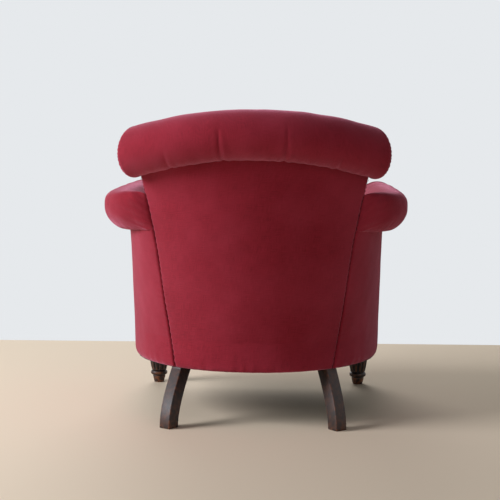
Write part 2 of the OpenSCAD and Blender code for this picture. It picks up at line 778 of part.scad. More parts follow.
// The slot that a back post fills between the curved rails
module post_slot() {
    rotate([0, 0, -post_angle]) translate([-post_t / 2, rail_r - post_clear - post_depth - over, rail_z - over])
        cube([post_t, post_depth + post_clear + 2 * over, rail_h + 2 * over]);
}
module rail_arc(from, to) {
    translate([0, 0, rail_z]) rotate([0, 0, from])
        rotate_extrude(angle = to - from, $fn = 128) translate([rail_r - rail_t, 0]) square([rail_t, rail_h]);
}
module seat_rail(side) {
    color("burlywood") both_sides(side) difference() {
        union() {
            rail_arc(0, 90 - post_angle);
            translate([rail_r - rail_t, block_y + block_w / 2, rail_z])
                cube([rail_t, -block_y - block_w / 2, rail_h]);
        }
        post_slot();
        dowel_places(bore_fit);
    }
}
module seat_rail_left() { seat_rail("left"); }
module seat_rail_right() { seat_rail("right"); }
module seat_rail_back() {
    color("burlywood") placed() difference() {
        rail_arc(90 - post_angle, 90 + post_angle);
        for (flip = [0, 1]) mirror([flip, 0, 0]) post_slot();
    }
}

// Rails that follow the wall, each a rectangle carried along a list of places
module crest_rail() {
    color("burlywood") placed() loft([
        for (i = [0:back_columns])
            let (x = mix(-roll_end, roll_end, share(i, back_columns))) [
                for (c = [[-1, -1], [1, -1], [1, 1], [-1, 1]])
                    crest_spot(x, c.x * crest_rail_t / 2, c.y * crest_rail_h / 2)
            ]
    ]);
}
module arm_rail(side) {
    color("burlywood") both_sides(side) loft([
        for (place = arm_places(3))
            let (far = arm_rail_reach(swell(place[0]))) [
                for (c = [[arm_rail_in, 0], [far, 0], [far, arm_rail_t], [arm_rail_in, arm_rail_t]])
                    arm_point(place, [c.x, arm_rail_low + c.y])
            ]
    ]);
}
module arm_rail_left() { arm_rail("left"); }
module arm_rail_right() { arm_rail("right"); }
module arm_post(side) {
    low_x = side_x(rail_top) + frame_out;
    high_x = side_x(arm_rail_low) + frame_out;
    color("burlywood") both_sides(side)
        translate([0, -side_straight + arm_post_t, 0]) rotate([90, 0, 0]) linear_extrude(arm_post_t)
            polygon([
                [low_x - post_depth, rail_top], [low_x, rail_top],
                [high_x, arm_rail_low], [high_x - post_depth, arm_rail_low]
            ]);
}
module arm_post_left() { arm_post("left"); }
module arm_post_right() { arm_post("right"); }
module arm_tack_rail(side) {
    front = 3 - arm_post_t / side_straight;
    places = [
        [0, 0],
        for (i = [1:corner_steps]) [swell_len, 1 + share(i, corner_steps)],
        for (i = [1:side_steps]) [swell_len, mix(2, front, share(i, side_steps))]
    ];
    color("burlywood") both_sides(side) loft([
        for (place = places) [
            for (c = [[-tack_rail_t, 0], [0, 0], [0, tack_rail_h], [-tack_rail_t, tack_rail_h]])
                arm_point(place, [frame_out + c.x, tack_z + c.y])
        ]
    ]);
}
module arm_tack_rail_left() { arm_tack_rail("left"); }
module arm_tack_rail_right() { arm_tack_rail("right"); }
module back_tack_rail() {
    steps = 10;
    half = post_x(tack_z) - post_t / 2;
    color("burlywood") placed() loft([
        for (i = [0:steps]) let (x = mix(-half, half, share(i, steps))) [
            for (c = [[-tack_rail_t, 0], [0, 0], [0, tack_rail_h], [-tack_rail_t, tack_rail_h]])
                back_wall(x, tack_z + c.y, web_out + tack_rail_t + frame_gap + c.x)
        ]
    ]);
}

// Hessian of the inside arm, and the webbing of the back
module arm_hessian(side) {
    out = [web_out - sheet_t, web_out];
    rises = [tuck_z, arm_rail_low - fit];
    color("peru") both_sides(side) loft([
        for (place = arm_places(3 - probe_share)) [
            arm_point(place, [out[0], rises[0]]), arm_point(place, [out[1], rises[0]]),
            arm_point(place, [out[1], rises[1]]), arm_point(place, [out[0], rises[1]])
        ]
    ]);
}
module arm_hessian_left() { arm_hessian("left"); }
module arm_hessian_right() { arm_hessian("right"); }
back_web_shares = [-0.62, -0.21, 0.21, 0.62];
web_pieces = 8;
module back_webbing() {
    color("darkkhaki") placed() {
        for (s = back_web_shares)
            loft([
                for (i = [0:web_pieces])
                    let (
                        z = mix(tack_z, crest_line_z(s * roll_end) - crest_rail_h, share(i, web_pieces)),
                        x = s * back_edge_x(z)
                    ) [
                        for (c = [[-1, -web_t], [1, -web_t], [1, 0], [-1, 0]])
                            back_wall(x + c.x * web_w / 2, z, web_out + c.y)
                    ]
            ]);
    }
}

// Arm front facings, front border, bottom cloth and its tacks

module arm_facing(side) {
    line = arm_outer_line(1);
    wall_top = arm_z - arm_r * 0.6;
    rising = [for (i = [0:face_steps - 1]) [side_x(line[i].y) + line[i].x, line[i].y]];
    color("firebrick") both_sides(side)
        translate([0, -side_straight - fit, 0]) rotate([90, 0, 0]) linear_extrude(facing_t) {
            polygon([
                [side_x(base_h) + arm_face, base_h], [side_x(base_h), base_h], [side_x(wall_top), wall_top],
                [side_x(arm_z) + arm_out, arm_z],
                for (i = [len(rising) - 1:-1:0]) rising[i]
            ]);
            translate([side_x(arm_z) + arm_out, arm_z]) circle(r = arm_r, $fn = 64);
        }
}
module arm_facing_left() { arm_facing("left"); }
module arm_facing_right() { arm_facing("right"); }
module front_border() {
    low_half = side_x(base_h) + arm_face - fit;
    high_half = side_x(seat_z) + arm_face - fit;
    color("firebrick") placed()
        translate([0, -side_straight - fit, 0]) rotate([90, 0, 0]) linear_extrude(facing_t)
            polygon([[-low_half, base_h], [low_half, base_h], [high_half, seat_z - fit], [-high_half, seat_z - fit]]);
}

cloth_ways = [for (i = [0:3]) share(i, 3), for (i = [1:6]) 1 + share(i, 6), 3 - probe_share];
module bottom_cloth() {
    half = [for (along = cloth_ways) let (p = wall(along, base_h, frame_out)) [p.x, p.y]];
    outline = concat(
        [for (i = [len(half) - 1:-1:0]) half[i]],
        [for (i = [1:len(half) - 1]) [-half[i].x, half[i].y]]
    );
    color("black") placed() difference() {
        translate([0, 0, base_h]) linear_extrude(sheet_t) polygon(outline);
        for (flip = [0, 1]) mirror([flip, 0, 0]) {
            translate([block_x, block_y, base_h - over])
                cylinder(h = sheet_t + 2 * over, r = leg_d / 2 + fit, $fn = 64);
            translate([block_x, -side_straight - over, base_h - over])
                cube([block_w, block_w / 2 + over, sheet_t + 2 * over]);
            rotate([0, 0, -post_angle])
                translate([-post_t / 2 - fit, rail_r - post_clear - post_depth - fit, base_h - over])
                    cube([post_t + 2 * fit, post_depth + 2 * fit + over, sheet_t + 2 * over]);
        }
    }
}
tack_d = 8;
tack_h = 1.2;
tack_in = 14;
module tack() {
    cylinder(h = tack_h, r1 = tack_d / 3, r2 = tack_d / 2, $fn = 16);
}
tack_ways = [for (i = [-4:4]) i / 5, for (i = [2:8], flip = [-1, 1]) flip * (1 + i / 8),
    for (i = [1:6], flip = [-1, 1]) flip * (2 + i / 8)];
module bottom_tacks() {
    color("dimgray") placed() {
        for (along = tack_ways) {
            p = wall(abs(along), base_h, frame_out - tack_in);
            translate([along < 0 ? -p.x : p.x, p.y, base_h - tack_h]) tack();
        }
        for (i = [-4:4])
            translate([i * web_w, tack_in - side_straight, base_h - tack_h]) tack();
    }
}

outside_back();
outside_arm_left();
outside_arm_right();
inside_back();
inside_arm_left();
inside_arm_right();
back_facing_left();
back_facing_right();
arm_facing_left();
arm_facing_right();
back_buttons();
seat_cover();
seat_stuffing();
front_border();
bottom_cloth();
bottom_tacks();
back_leg_left();
back_leg_right();
front_leg_left();
front_leg_right();
seat_rail_front();
seat_rail_left();
seat_rail_right();
seat_rail_back();
leg_block_left();
leg_block_right();
rail_dowels();
crest_rail();
crest_board_left();
crest_board_right();
arm_rail_left();
arm_rail_right();
arm_post_left();
arm_post_right();
arm_tack_rail_left();
arm_tack_rail_right();
back_tack_rail();
seat_webbing_long();
seat_webbing_cross();
seat_springs();
spring_twine();
spring_hessian();
back_webbing();
arm_hessian_left();
arm_hessian_right();
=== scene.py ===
# Dresses the tub chair: covers with their pleats, seams and gathers, buttons, legs and frame timber.
import json
import math
import bmesh
import bpy
import numpy as np
from mathutils import Matrix, Vector


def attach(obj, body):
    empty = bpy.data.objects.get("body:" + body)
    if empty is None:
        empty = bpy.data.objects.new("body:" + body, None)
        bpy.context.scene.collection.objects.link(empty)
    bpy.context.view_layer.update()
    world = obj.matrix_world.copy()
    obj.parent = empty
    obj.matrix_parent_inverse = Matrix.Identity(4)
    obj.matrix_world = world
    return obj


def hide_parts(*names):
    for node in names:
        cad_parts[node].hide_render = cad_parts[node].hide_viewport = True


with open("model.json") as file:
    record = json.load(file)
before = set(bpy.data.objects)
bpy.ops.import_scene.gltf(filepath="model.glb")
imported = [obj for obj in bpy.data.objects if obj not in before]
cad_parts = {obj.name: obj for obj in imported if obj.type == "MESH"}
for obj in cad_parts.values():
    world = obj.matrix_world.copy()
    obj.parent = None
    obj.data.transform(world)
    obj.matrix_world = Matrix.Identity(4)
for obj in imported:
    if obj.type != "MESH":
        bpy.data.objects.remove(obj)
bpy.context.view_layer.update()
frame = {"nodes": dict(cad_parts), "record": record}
MM = 0.001

# Sizes in metres. A name with OUT or FACE says how far out from the wall of the tub a thing lies, with
# less than 0 for inside. PROBE is the step along the wall over which its direction is taken
BODY_R = 316 * MM
FLARE = 8 * MM
STRAIGHT = 285 * MM
BASE_Z = 136 * MM
BACK_RAKE = 88 * MM
CREST_R = 59 * MM
CREST_HALF = 300 * MM
CREST_DROP = 48 * MM
CREST_SAG = 84 * MM
CREST_Z = 770 * MM - CREST_R
ARM_R = 51 * MM
ARM_Z = 572 * MM - ARM_R
ARM_OUT = 8 * MM
PANEL_LOW = 390 * MM
PANEL_HIGH = 576 * MM
COVER_T = 4 * MM
POST_T = 32 * MM
RAIL_Z = BASE_Z + 8 * MM
RAIL_TOP = RAIL_Z + 65 * MM
TUCK_Z = RAIL_TOP + 88 * MM
POST_OUT = -COVER_T - 1.6 * MM
WEB_OUT = POST_OUT - 40.3 * MM
PAD_OUT = WEB_OUT - 3.7 * MM
ARM_FACE = PAD_OUT - 34 * MM
BACK_FACE = PAD_OUT - 70 * MM
FACING_T = 9 * MM
CORNER_SHARE = 0.354
PROBE = 0.01
SWELL = 135 * MM
PAST_POST = 36 * MM
ARM_RUN = 496 * MM
POST_GAP = 2.5 * MM
ROLL_GAP = 0.8 * MM
SEAM_GAP = 0.9 * MM
JOINT = 0.3 * MM
FRONT_Y = -STRAIGHT - FACING_T - JOINT
SHIFT_Y = (STRAIGHT + FACING_T + JOINT - BODY_R - BACK_RAKE - CREST_R) / 2
BOARD_Y = SHIFT_Y - STRAIGHT - JOINT
ARM_RAIL_LOW = ARM_Z - 13 * MM
CREST_RAIL_H = 44 * MM
SEAT_Z = 339.3 * MM
BORDER_TOP = 648 * MM
ROLL_ARC = 270 * MM
RAIL_HALF = 35 * MM
ARM_RAIL_T = 26 * MM
POST_TOP = 644.4 * MM
LEG_DEEP_LOW = 33 * MM
LEG_DEEP_HIGH = 40 * MM
LEG_SPLAY = (23 * MM, 84 * MM)
EDGE_R = 2.2 * MM
SWELL_CAP = 9 * MM
BUTTON_R = 10.5 * MM
ROLL_BUTTON_R = 20 * MM
FACING_WELT_R = 2.1 * MM
SEAT_WELT_R = 5 * MM
STITCH_LEN = 5.5 * MM
STITCH_PITCH = 8.5 * MM
STITCH_TOP = 630 * MM
# The arm roll's cloth ends at this angle, where it comes back to the wall, and at this place along the
# wall, a little past the arm front
ARM_END = -math.acos((ROLL_GAP - ARM_OUT) / ARM_R)
CLOTH_END = 3.012


def mix(a, b, share):
    return a + (b - a) * share


def ease(share):
    t = np.clip(share, 0, 1)
    return t * t * (3 - 2 * t)


def hump(distance, reach):
    return np.exp(-(distance / reach) ** 2)


def ridge(distance, reach):
    """Falls away from 1 like a sharp crease, where hump() is round."""
    return np.exp(-np.abs(distance) / reach)


# The walls of the tub in plan. A place along the wall is 0 at the middle of the back, 1 at the back
# seam, 2 where the straight side starts and 3 at the arm front
def lean(z):
    return np.maximum(0, z - RAIL_TOP) / (CREST_Z - RAIL_TOP)


def back_y(x, z):
    low = np.sqrt(np.maximum(0, BODY_R ** 2 - x ** 2))
    high = BODY_R + BACK_RAKE - CREST_SAG * (x / CREST_HALF) ** 2
    return mix(low, high, lean(z))


def seam_x(z):
    """Half the width of the outside back: the seam runs out to the back roll and is drawn in at the arm."""
    straight = mix(PANEL_LOW, PANEL_HIGH, np.minimum(1, (z - BASE_Z) / (CREST_Z - BASE_Z))) / 2
    return straight + 4 * MM * ease((z - 540 * MM) / (100 * MM)) - 5 * MM * hump(z - 450 * MM, 110 * MM)


def side_x(z):
    return BODY_R + FLARE * (z - BASE_Z) / (ARM_Z - BASE_Z)


def crest_line_z(x):
    return CREST_Z - CREST_DROP * (x / CREST_HALF) ** 2


def pair(x, y):
    return np.stack(np.broadcast_arrays(x, y), -1)


def unit(v):
    return v / np.linalg.norm(v, axis=-1, keepdims=True)


def back_way(x, z):
    e = BODY_R * PROBE
    return unit(pair(2 * e + 0 * x, back_y(x + e, z) - back_y(x - e, z)))


def corner(share, z):
    a = pair(seam_x(z), back_y(seam_x(z), z))
    d = pair(side_x(z), 0 * z)
    reach = np.linalg.norm(d - a, axis=-1, keepdims=True) * CORNER_SHARE
    b = a + reach * back_way(seam_x(z), z)
    c = d + np.concatenate([0 * reach, reach], -1)
    t = np.asarray(share)[..., None]
    s = 1 - t
    return s ** 3 * a + 3 * s * s * t * b + 3 * s * t * t * c + t ** 3 * d


def plan(along, z):
    along, z = np.broadcast_arrays(np.asarray(along, float), np.asarray(z, float))
    x = along * seam_x(z)
    back = pair(x, back_y(x, z))
    side = pair(side_x(z), (2 - along) * STRAIGHT)
    bend = corner(np.clip(along - 1, 0, 1), z)
    return np.where((along < 1)[..., None], back, np.where((along < 2)[..., None], bend, side))


def to_row(xy, z):
    """A point of the plan at a height, moved to where the chair stands."""
    z = np.broadcast_to(z, xy.shape[:-1])
    return np.stack([xy[..., 0], xy[..., 1] + SHIFT_Y, z], -1)


def wall(along, z, out):
    way = unit(plan(along + PROBE, z) - plan(along - PROBE, z))
    xy = plan(along, z) + np.asarray(out)[..., None] * pair(-way[..., 1], way[..., 0])
    return to_row(xy, z)


def back_wall(x, z, out):
    x, z, out = np.broadcast_arrays(np.asarray(x, float), z, out)
    way = back_way(x, z)
    xy = pair(x, back_y(x, z)) + out[..., None] * pair(-way[..., 1], way[..., 0])
    return to_row(xy, z)


def past_seam(distance, z):
    chord = np.linalg.norm(plan(2.0, z) - plan(1.0, z), axis=-1)
    return 1 + distance / (chord * (1 + CORNER_SHARE / 4))


def crest_spot(x, out, up):
    p = back_wall(x, crest_line_z(x), out)
    p[..., 2] += up
    return p


def post_x(z):
    return mix(PANEL_LOW, PANEL_HIGH - POST_T, lean(z)) / 2


def beside_post(z, out, gap):
    z, out, gap = np.broadcast_arrays(z, out, gap)
    x = post_x(z)
    way = back_way(x, z)
    p = back_wall(x, z, out)
    p[..., :2] += way * (POST_T / 2 + gap)[..., None]
    return p


# Meshes from grids of points
def ripples(u, v, seed, size, ways=9):
    """Gentle unevenness, mostly between -1 and 1: a fixed sum of waves about `size` metres long."""
    rng = np.random.default_rng(seed)
    total = 0 * (u + v)
    for _ in range(ways):
        angle = rng.uniform(0, math.pi)
        k = 2 * math.pi / (size * rng.uniform(0.6, 1.7))
        total = total + np.cos(k * (u * math.cos(angle) + v * math.sin(angle)) + rng.uniform(0, 6.28))
    return total / math.sqrt(ways) / 1.4


def gathers(near, reach, along, pitch, seed, drift=60 * MM, sway=2, across=0):
    """Small folds that run in from an edge and are spent within `reach` of it, spaced unevenly along it."""
    return hump(near, reach) * np.cos(2 * math.pi * along / pitch
                                      + sway * ripples(along, across + 0 * along, seed, drift))


def lengths(grid, axis):
    """Distance along the grid from its first row or column, measured over the surface."""
    step = np.linalg.norm(np.diff(grid, axis=axis), axis=-1)
    pad = [(0, 0), (0, 0)]
    pad[axis] = (1, 0)
    return np.cumsum(np.pad(step, pad), axis=axis)


def normals_of(grid):
    a = np.gradient(grid, axis=0)
    b = np.gradient(grid, axis=1)
    n = np.cross(a, b)
    size = np.linalg.norm(n, axis=-1, keepdims=True)
    return n / np.maximum(size, 1e-12)


def new_object(name, data):
    made = bpy.data.objects.new(name, data)
    bpy.context.scene.collection.objects.link(made)
    return made


def lay_cloth(mesh, uv):
    """The UV map of a mesh, from the place of each vertex on the cloth."""
    layer = mesh.uv_layers.new(name="cloth")
    loops = np.zeros(len(mesh.loops), int)
    mesh.loops.foreach_get("vertex_index", loops)
    layer.data.foreach_set("uv", np.asarray(uv, np.float32)[loops].ravel())


def mesh_object(name, points, faces, uv=None):
    mesh = bpy.data.meshes.new(name)
    mesh.from_pydata([tuple(p) for p in points], [], faces)
    mesh.update()
    if uv is not None:
        lay_cloth(mesh, uv)
    piece = new_object(name, mesh)
    tidy_shading(piece)
    return piece


def tidy_shading(piece, angle=50):
    mesh = piece.data
    work = bmesh.new()
    work.from_mesh(mesh)
    if work.calc_volume(signed=True) < 0:
        bmesh.ops.reverse_faces(work, faces=work.faces)
    work.to_mesh(mesh)
    work.free()
    mesh.polygons.foreach_set("use_smooth", [True] * len(mesh.polygons))
    mesh.set_sharp_from_angle(angle=math.radians(angle))


def ring_faces(rows, total, closed=False):
    """The faces between rings of points, with an end face at both ends where the rings don't close."""
    faces = []
    for i in range(rows if closed else rows - 1):
        a, b = i * total, (i + 1) % rows * total
        faces += [(a + k, a + (k + 1) % total, b + (k + 1) % total, b + k) for k in range(total)]
    if not closed:
        faces += [tuple(range(total))[::-1], tuple((rows - 1) * total + k for k in range(total))]
    return faces


def grid_faces(rows, cols, first=0, flip=False):
    i = np.arange(rows - 1)[:, None] * cols + np.arange(cols - 1)[None] + first
    quads = np.stack([i, i + cols, i + cols + 1, i + 1], -1).reshape(-1, 4)
    return (quads[:, ::-1] if flip else quads).tolist()


def skin(name, outer, inner):
    """A closed padded skin between two grids of the same rows and columns."""
    rows, cols = outer.shape[:2]
    count = rows * cols
    faces = grid_faces(rows, cols) + grid_faces(rows, cols, count, True)
    top = np.arange(cols - 1)
    side = np.arange(rows - 1) * cols
    for a in (0, (rows - 1) * cols):
        strip = np.stack([a + top, a + top + 1, a + top + 1 + count, a + top + count], -1)
        faces += (strip if a == 0 else strip[:, ::-1]).tolist()
    for a in (0, cols - 1):
        strip = np.stack([a + side, a + side + count, a + side + cols + count, a + side + cols], -1)
        faces += (strip if a == 0 else strip[:, ::-1]).tolist()
    uv = np.stack([lengths(outer, 0), lengths(outer, 1)], -1).reshape(-1, 2)
    points = np.concatenate([outer.reshape(-1, 3), inner.reshape(-1, 3)])
    return mesh_object(name, points, faces, np.concatenate([uv, uv]))


def resample(line, count):
    """Points at equal distances along a line."""
    step = np.linalg.norm(np.diff(line, axis=0), axis=-1)
    at = np.concatenate([[0], np.cumsum(step)])
    want = np.linspace(0, at[-1], count)
    return np.stack([np.interp(want, at, line[:, k]) for k in range(line.shape[1])], -1)


def mirrored(name, piece):
    """The right-hand piece, from the left-hand one."""
    copy = piece.copy()
    copy.data = piece.data.copy()
    copy.name = name
    copy.data.name = name
    bpy.context.scene.collection.objects.link(copy)
    copy.data.transform(Matrix.Scale(-1, 4, (1, 0, 0)))
    copy.data.flip_normals()
    return copy


# Covers
def outside_back_cover():
    """One taut panel, turned in at both seams and under the bottom edge."""
    s = np.linspace(-1, 1, 181)[:, None]
    t = np.linspace(0, 1, 121)[None] ** 1.15
    top = crest_line_z(s * PANEL_HIGH / 2) - CREST_RAIL_H / 2
    z = mix(BASE_Z, top, t)
    x = s * seam_x(z)
    h = z - BASE_Z
    edge = (1 - np.abs(s)) * seam_x(z)
    under = np.clip(1 - h / (14 * MM), 0, 1)
    hem = np.clip(1 - edge / (3.5 * MM), 0, 1)
    puckers = gathers(edge, 16 * MM, z, 15 * MM, 4)
    hang = gathers(h, 22 * MM, x, 31 * MM, 5, 90 * MM)
    out = 0.9 * MM * ripples(x, z, 1, 190 * MM) + 0.4 * MM * ripples(x * 0.5, z, 2, 60 * MM)
    x = x + np.sign(s) * 0.5 * MM * puckers * hump(edge, 6 * MM)
    out = out + 0.6 * MM * puckers + 0.5 * MM * hang + 2.5 * MM * np.sqrt(np.clip(edge / (70 * MM), 0, 1))
    out = out - 7 * MM * (1 - np.sqrt(1 - under ** 2)) - 3.2 * MM * hem ** 2
    out = out * np.clip((top - z) / (20 * MM), 0.15, 1)
    outer = back_wall(x, z, out)
    outer[..., 2] -= 2.5 * MM * hump(h, 12 * MM) * (1 - under)
    inner = back_wall(x * 0.997, np.maximum(z, BASE_Z + 0.5 * MM), np.minimum(-COVER_T, out - 1.5 * MM))
    return skin("outside_back_linen", outer, inner)


def outside_arm_cover():
    """The round side of the tub, from the back seam to the front, sewn up under the arm roll."""
    t = np.linspace(0, 1, 171)[:, None]
    h = np.linspace(0, 1, 91)[None] ** 1.15
    z = mix(BASE_Z, ARM_RAIL_LOW - 0.5 * MM, h)
    start = past_seam(SEAM_GAP, z)
    along = mix(start, 3, t) - 0.0005
    run = 520 * MM * t + 0 * z
    up = z - BASE_Z
    front = 500 * MM * (1 - t)
    rounded = ease(run / (90 * MM))
    under = np.clip(1 - up / mix(14 * MM, 23 * MM, rounded), 0, 1)
    hem = np.clip(1 - run / (3 * MM), 0, 1)
    puckers = gathers(run, 15 * MM, z, 14 * MM, 14)
    hang = gathers(up, 22 * MM, run, 29 * MM, 15, 90 * MM)
    tuck = gathers(ARM_RAIL_LOW - z, 22 * MM, run, 24 * MM, 16, 80 * MM, 3)
    out = 1.1 * MM * ripples(run, z, 11, 170 * MM) + 0.35 * MM * ripples(run, z * 0.5, 12, 55 * MM)
    out = out + 0.6 * MM * puckers + 0.5 * MM * hang + 0.5 * MM * tuck
    out = out + 2.2 * MM * np.sqrt(np.clip(np.minimum(run, front) / (60 * MM), 0, 1))
    out = out - mix(7 * MM, 11 * MM, rounded) * (1 - np.sqrt(1 - under ** 2)) - 2.6 * MM * hem ** 2
    outer = wall(along, z, out)
    outer[..., 2] -= 2.5 * MM * hump(up, 12 * MM) * (1 - under)
    inner = wall(along, np.maximum(z, BASE_Z + 0.5 * MM), np.minimum(-COVER_T, out - 1.5 * MM))
    return skin("outside_arm_left_linen", outer, inner)


def swell(distance):
    """How far the roll has swollen: from under the edge of the panel, at the seam, to its full width."""
    t = np.clip(distance / SWELL, 0, 1)
    return 0.75 * t * (2 - t) + 0.25 * ease(t) - 0.07 * ridge(distance, 1.5 * MM)


def arm_spot(distance, along, out, z):
    """A point of the arm: beside the post while the roll swells, and then along the wall. What shows of the
    cloth starts at the seam."""
    past = np.clip(distance / PAST_POST, 0, 1)
    near = beside_post(z, out, POST_GAP + distance)
    bend = wall(past_seam(POST_GAP + distance, z), z, out)
    seam = wall(past_seam(0.5 * MM + distance, z), z, out)
    shown = (ease((out + 14 * MM) / (9 * MM)) * (1 - past))[..., None]
    beside = mix(mix(near, bend, past[..., None]), seam, shown)
    far = wall(mix(past_seam(POST_GAP + SWELL, z), CLOTH_END, along), z, out)
    return np.where((along > 0)[..., None], far, beside)


def under_roll(z):
    """How far the stuffing over the arm rail fills out the inside arm, just under the roll."""
    return 9 * MM * hump(z - ARM_RAIL_LOW + 4 * MM, 30 * MM)


def arm_stations(swelling, straight):
    """Where the rows of the arm lie, from the seam to the front, with how far each is from the seam."""
    grown_steps = np.linspace(0, 1, swelling)[:-1] ** 1.5
    far_steps = np.linspace(0, 1, straight)
    distance = np.concatenate([grown_steps * SWELL, np.full(straight, SWELL)])[:, None]
    along = np.concatenate([np.zeros(swelling - 1), np.maximum(far_steps, 1e-6)])[:, None]
    run = np.concatenate([grown_steps * SWELL, mix(SWELL, ARM_RUN, far_steps)])[:, None]
    return distance, along, run


def inside_arm_cover():
    """Inside arm and roll in one cloth, drawn in against the post where the roll begins."""
    rise, turn = 44, 86
    distance, along, run = arm_stations(46, 100)
    s = np.linspace(0, 1, rise)[:-1]
    round_part = np.concatenate([0 * s, np.linspace(0, 1, turn)])[None]
    angle = mix(math.pi, ARM_END, round_part)
    outside = np.maximum(0, np.cos(angle))
    inside = np.maximum(0, -np.cos(angle))
    height = np.sin(angle)
    out = ARM_OUT + ARM_R * np.cos(angle)
    out[0, :rise - 1] = mix(ARM_FACE, ARM_OUT - ARM_R, ease(s))
    z = ARM_Z + ARM_R * height
    z[0, :rise - 1] = mix(TUCK_Z, ARM_Z, s)
    out = np.where(out > ROLL_GAP, mix(ROLL_GAP, out, swell(distance)), out)
    drawn_in = mix(0.9, 1, np.sqrt(1 - np.maximum(0, 1 - run / (40 * MM)) ** 2))
    z = np.where(round_part > 0, ARM_Z + (z - ARM_Z) * drawn_in, z)
    full = ease(run / (40 * MM)) * (1 - ease((run - 380 * MM) / (100 * MM)))
    shoulder = (2 * outside * height) ** 2 * full
    out = out - inside * under_roll(z)
    z = z + 5 * MM * outside ** 2 * full + 2 * MM * shoulder
    z = z + 6 * MM * np.maximum(0, -height) * (1 - ease(run / (160 * MM))) * (round_part > 0)
    out = out + 1.5 * MM * shoulder
    outer = arm_spot(distance, along, out, z)
    v = lengths(outer, 1)
    u = run + 0 * z
    drawn = gathers(run, 45 * MM, v, 19 * MM, 21, 70 * MM, across=u)
    tuck = gathers(1 - round_part, 0.16, u, 23 * MM, 22, 80 * MM, 3) * (round_part > 0)
    amount = 1.5 * MM * ripples(u, v, 23, 120 * MM) + 0.5 * MM * ripples(u, v, 24, 45 * MM)
    amount = amount + 0.7 * MM * drawn + 0.8 * MM * tuck
    up = np.clip((z - TUCK_Z) / (ARM_Z - TUCK_Z), 0, 1)
    amount = amount + 5 * MM * np.sin(math.pi * up) * (round_part == 0) * ease(run / PAST_POST)
    amount = amount * np.clip((1 - round_part) * 12 + 0.02, 0, 1) * np.clip(run / (14 * MM), 0.1, 1)
    outer = outward_from(outer, amount, arm_spot(distance, along, ARM_OUT, ARM_Z - 40 * MM))
    return skin("inside_arm_left_linen", outer, arm_lining(distance, along, outer.shape[1]))


def outward_from(grid, amount, centre):
    """The grid with each point moved along its normal, away from the line of centres."""
    n = normals_of(grid)
    away = np.sign(np.sum(n * (grid - centre), -1)).mean() > 0
    return grid + (1 if away else -1) * n * amount[..., None]


def arm_rail_reach(distance):
    return mix(-COVER_T - 1.5 * MM, ARM_OUT + RAIL_HALF, swell(distance))


def arm_rail():
    """The sawn rail under the arm's padding, narrow at the post and widening as the roll swells."""
    distance, along = arm_stations(20, 60)[:2]
    across = np.linspace(0, 1, 12)[None]
    out = mix(ARM_OUT - RAIL_HALF, arm_rail_reach(distance), across)
    low = arm_spot(distance, along, out, ARM_RAIL_LOW)
    high = arm_spot(distance, along, out, ARM_RAIL_LOW + ARM_RAIL_T)
    return skin("arm_rail_left_beech", high, low)


def arm_lining(distance, along, count):
    """The unseen side of the arm: down the hessian and round the arm rail."""
    rows = []
    for d, a in zip(distance[:, 0], along[:, 0]):
        far = arm_rail_reach(d) + 0.6 * MM
        near = ARM_OUT - RAIL_HALF - 0.6 * MM
        low, high = ARM_RAIL_LOW - 0.4 * MM, ARM_RAIL_LOW + ARM_RAIL_T + 0.5 * MM
        line = np.array([[PAD_OUT, TUCK_Z], [PAD_OUT, low], [near, low + 0.6 * MM], [near, high], [far, high],
                         [far, low], [min(far, ROLL_GAP), low - 0.3 * MM]])
        rows.append(arm_spot(d, a, *resample(line, count).T))
    return np.array(rows)


def back_side_border():
    """The strip that closes the side of the back over its post, from the arm roll up into the back roll."""
    t = np.linspace(0, 1, 70)[:, None]
    w = np.linspace(0, 1, 40)[None]
    z = mix(ARM_Z + 4 * MM, BORDER_TOP, t) + 0 * w
    deep = mix(mix(ARM_FACE + 3 * MM, -50 * MM, ease((z - 575 * MM) / (70 * MM))), -2.2 * MM, w)
    edge = np.minimum(w, 1 - w) * 80 * MM
    full = 1.2 * MM + 3.2 * MM * np.sqrt(np.clip(edge / (36 * MM), 0, 1))
    full = full + 0.4 * MM * gathers(edge, 9 * MM, z, 13 * MM, 41, across=w)
    full = full + 0.7 * MM * ripples(z, deep, 42, 50 * MM) + 3 * MM * ease((z - 540 * MM) / (100 * MM)) * w
    outer = beside_post(z, deep, full)
    inner = beside_post(z, deep, 0.4 * MM + 0 * z)
    return skin("back_side_left_linen", outer, inner)


# Inside back. A place on its face is a share across (-1 to 1) and a share up (0 to 1)
END_LEN = 19 * MM
ROLL_END = CREST_HALF - END_LEN * back_way(CREST_HALF, CREST_Z)[0]
BUTTON_ROWS = [(5 / 15, (-11 / 16, -4 / 16, 4 / 16, 11 / 16)), (9 / 15, (-7 / 16, 0, 7 / 16)),
               (12 / 15, (-11 / 16, -4 / 16, 4 / 16, 11 / 16))]
LOW_EDGE_X = beside_post(TUCK_Z, 0.0, 0.0)[0]


def back_edge_x(z):
    return mix(LOW_EDGE_X, ROLL_END, (z - TUCK_Z) / (CREST_Z - TUCK_Z))


def face_z(s, v):
    return mix(TUCK_Z, crest_line_z(s * ROLL_END), v)


def face_spot(s, v):
    z = face_z(s, v)
    return np.array([s * back_edge_x(z), z])


SPOTS = [[face_spot(s, v) for s in row] for v, row in BUTTON_ROWS]
TOP_XS = [spot[0] * 2 * CREST_HALF / PANEL_HIGH for spot in SPOTS[2]]


def pleat_lines():
    lines = []
    for low, high in zip(SPOTS, SPOTS[1:]):
        lines += [(a, b) for a in low for b in high if abs(a[0] - b[0]) < PANEL_LOW / 3]
    lines += [(a, np.array([a[0], TUCK_Z - 40 * MM])) for a in SPOTS[0]]
    lines += [(a, np.array([x, CREST_Z + 20 * MM])) for a, x in zip(SPOTS[2], TOP_XS)]
    return lines


def off_line(x, z, line):
    a, b = line
    d = b - a
    t = np.clip(((x - a[0]) * d[0] + (z - a[1]) * d[1]) / (d @ d), 0, 1)
    return np.hypot(x - a[0] - t * d[0], z - a[1] - t * d[1])


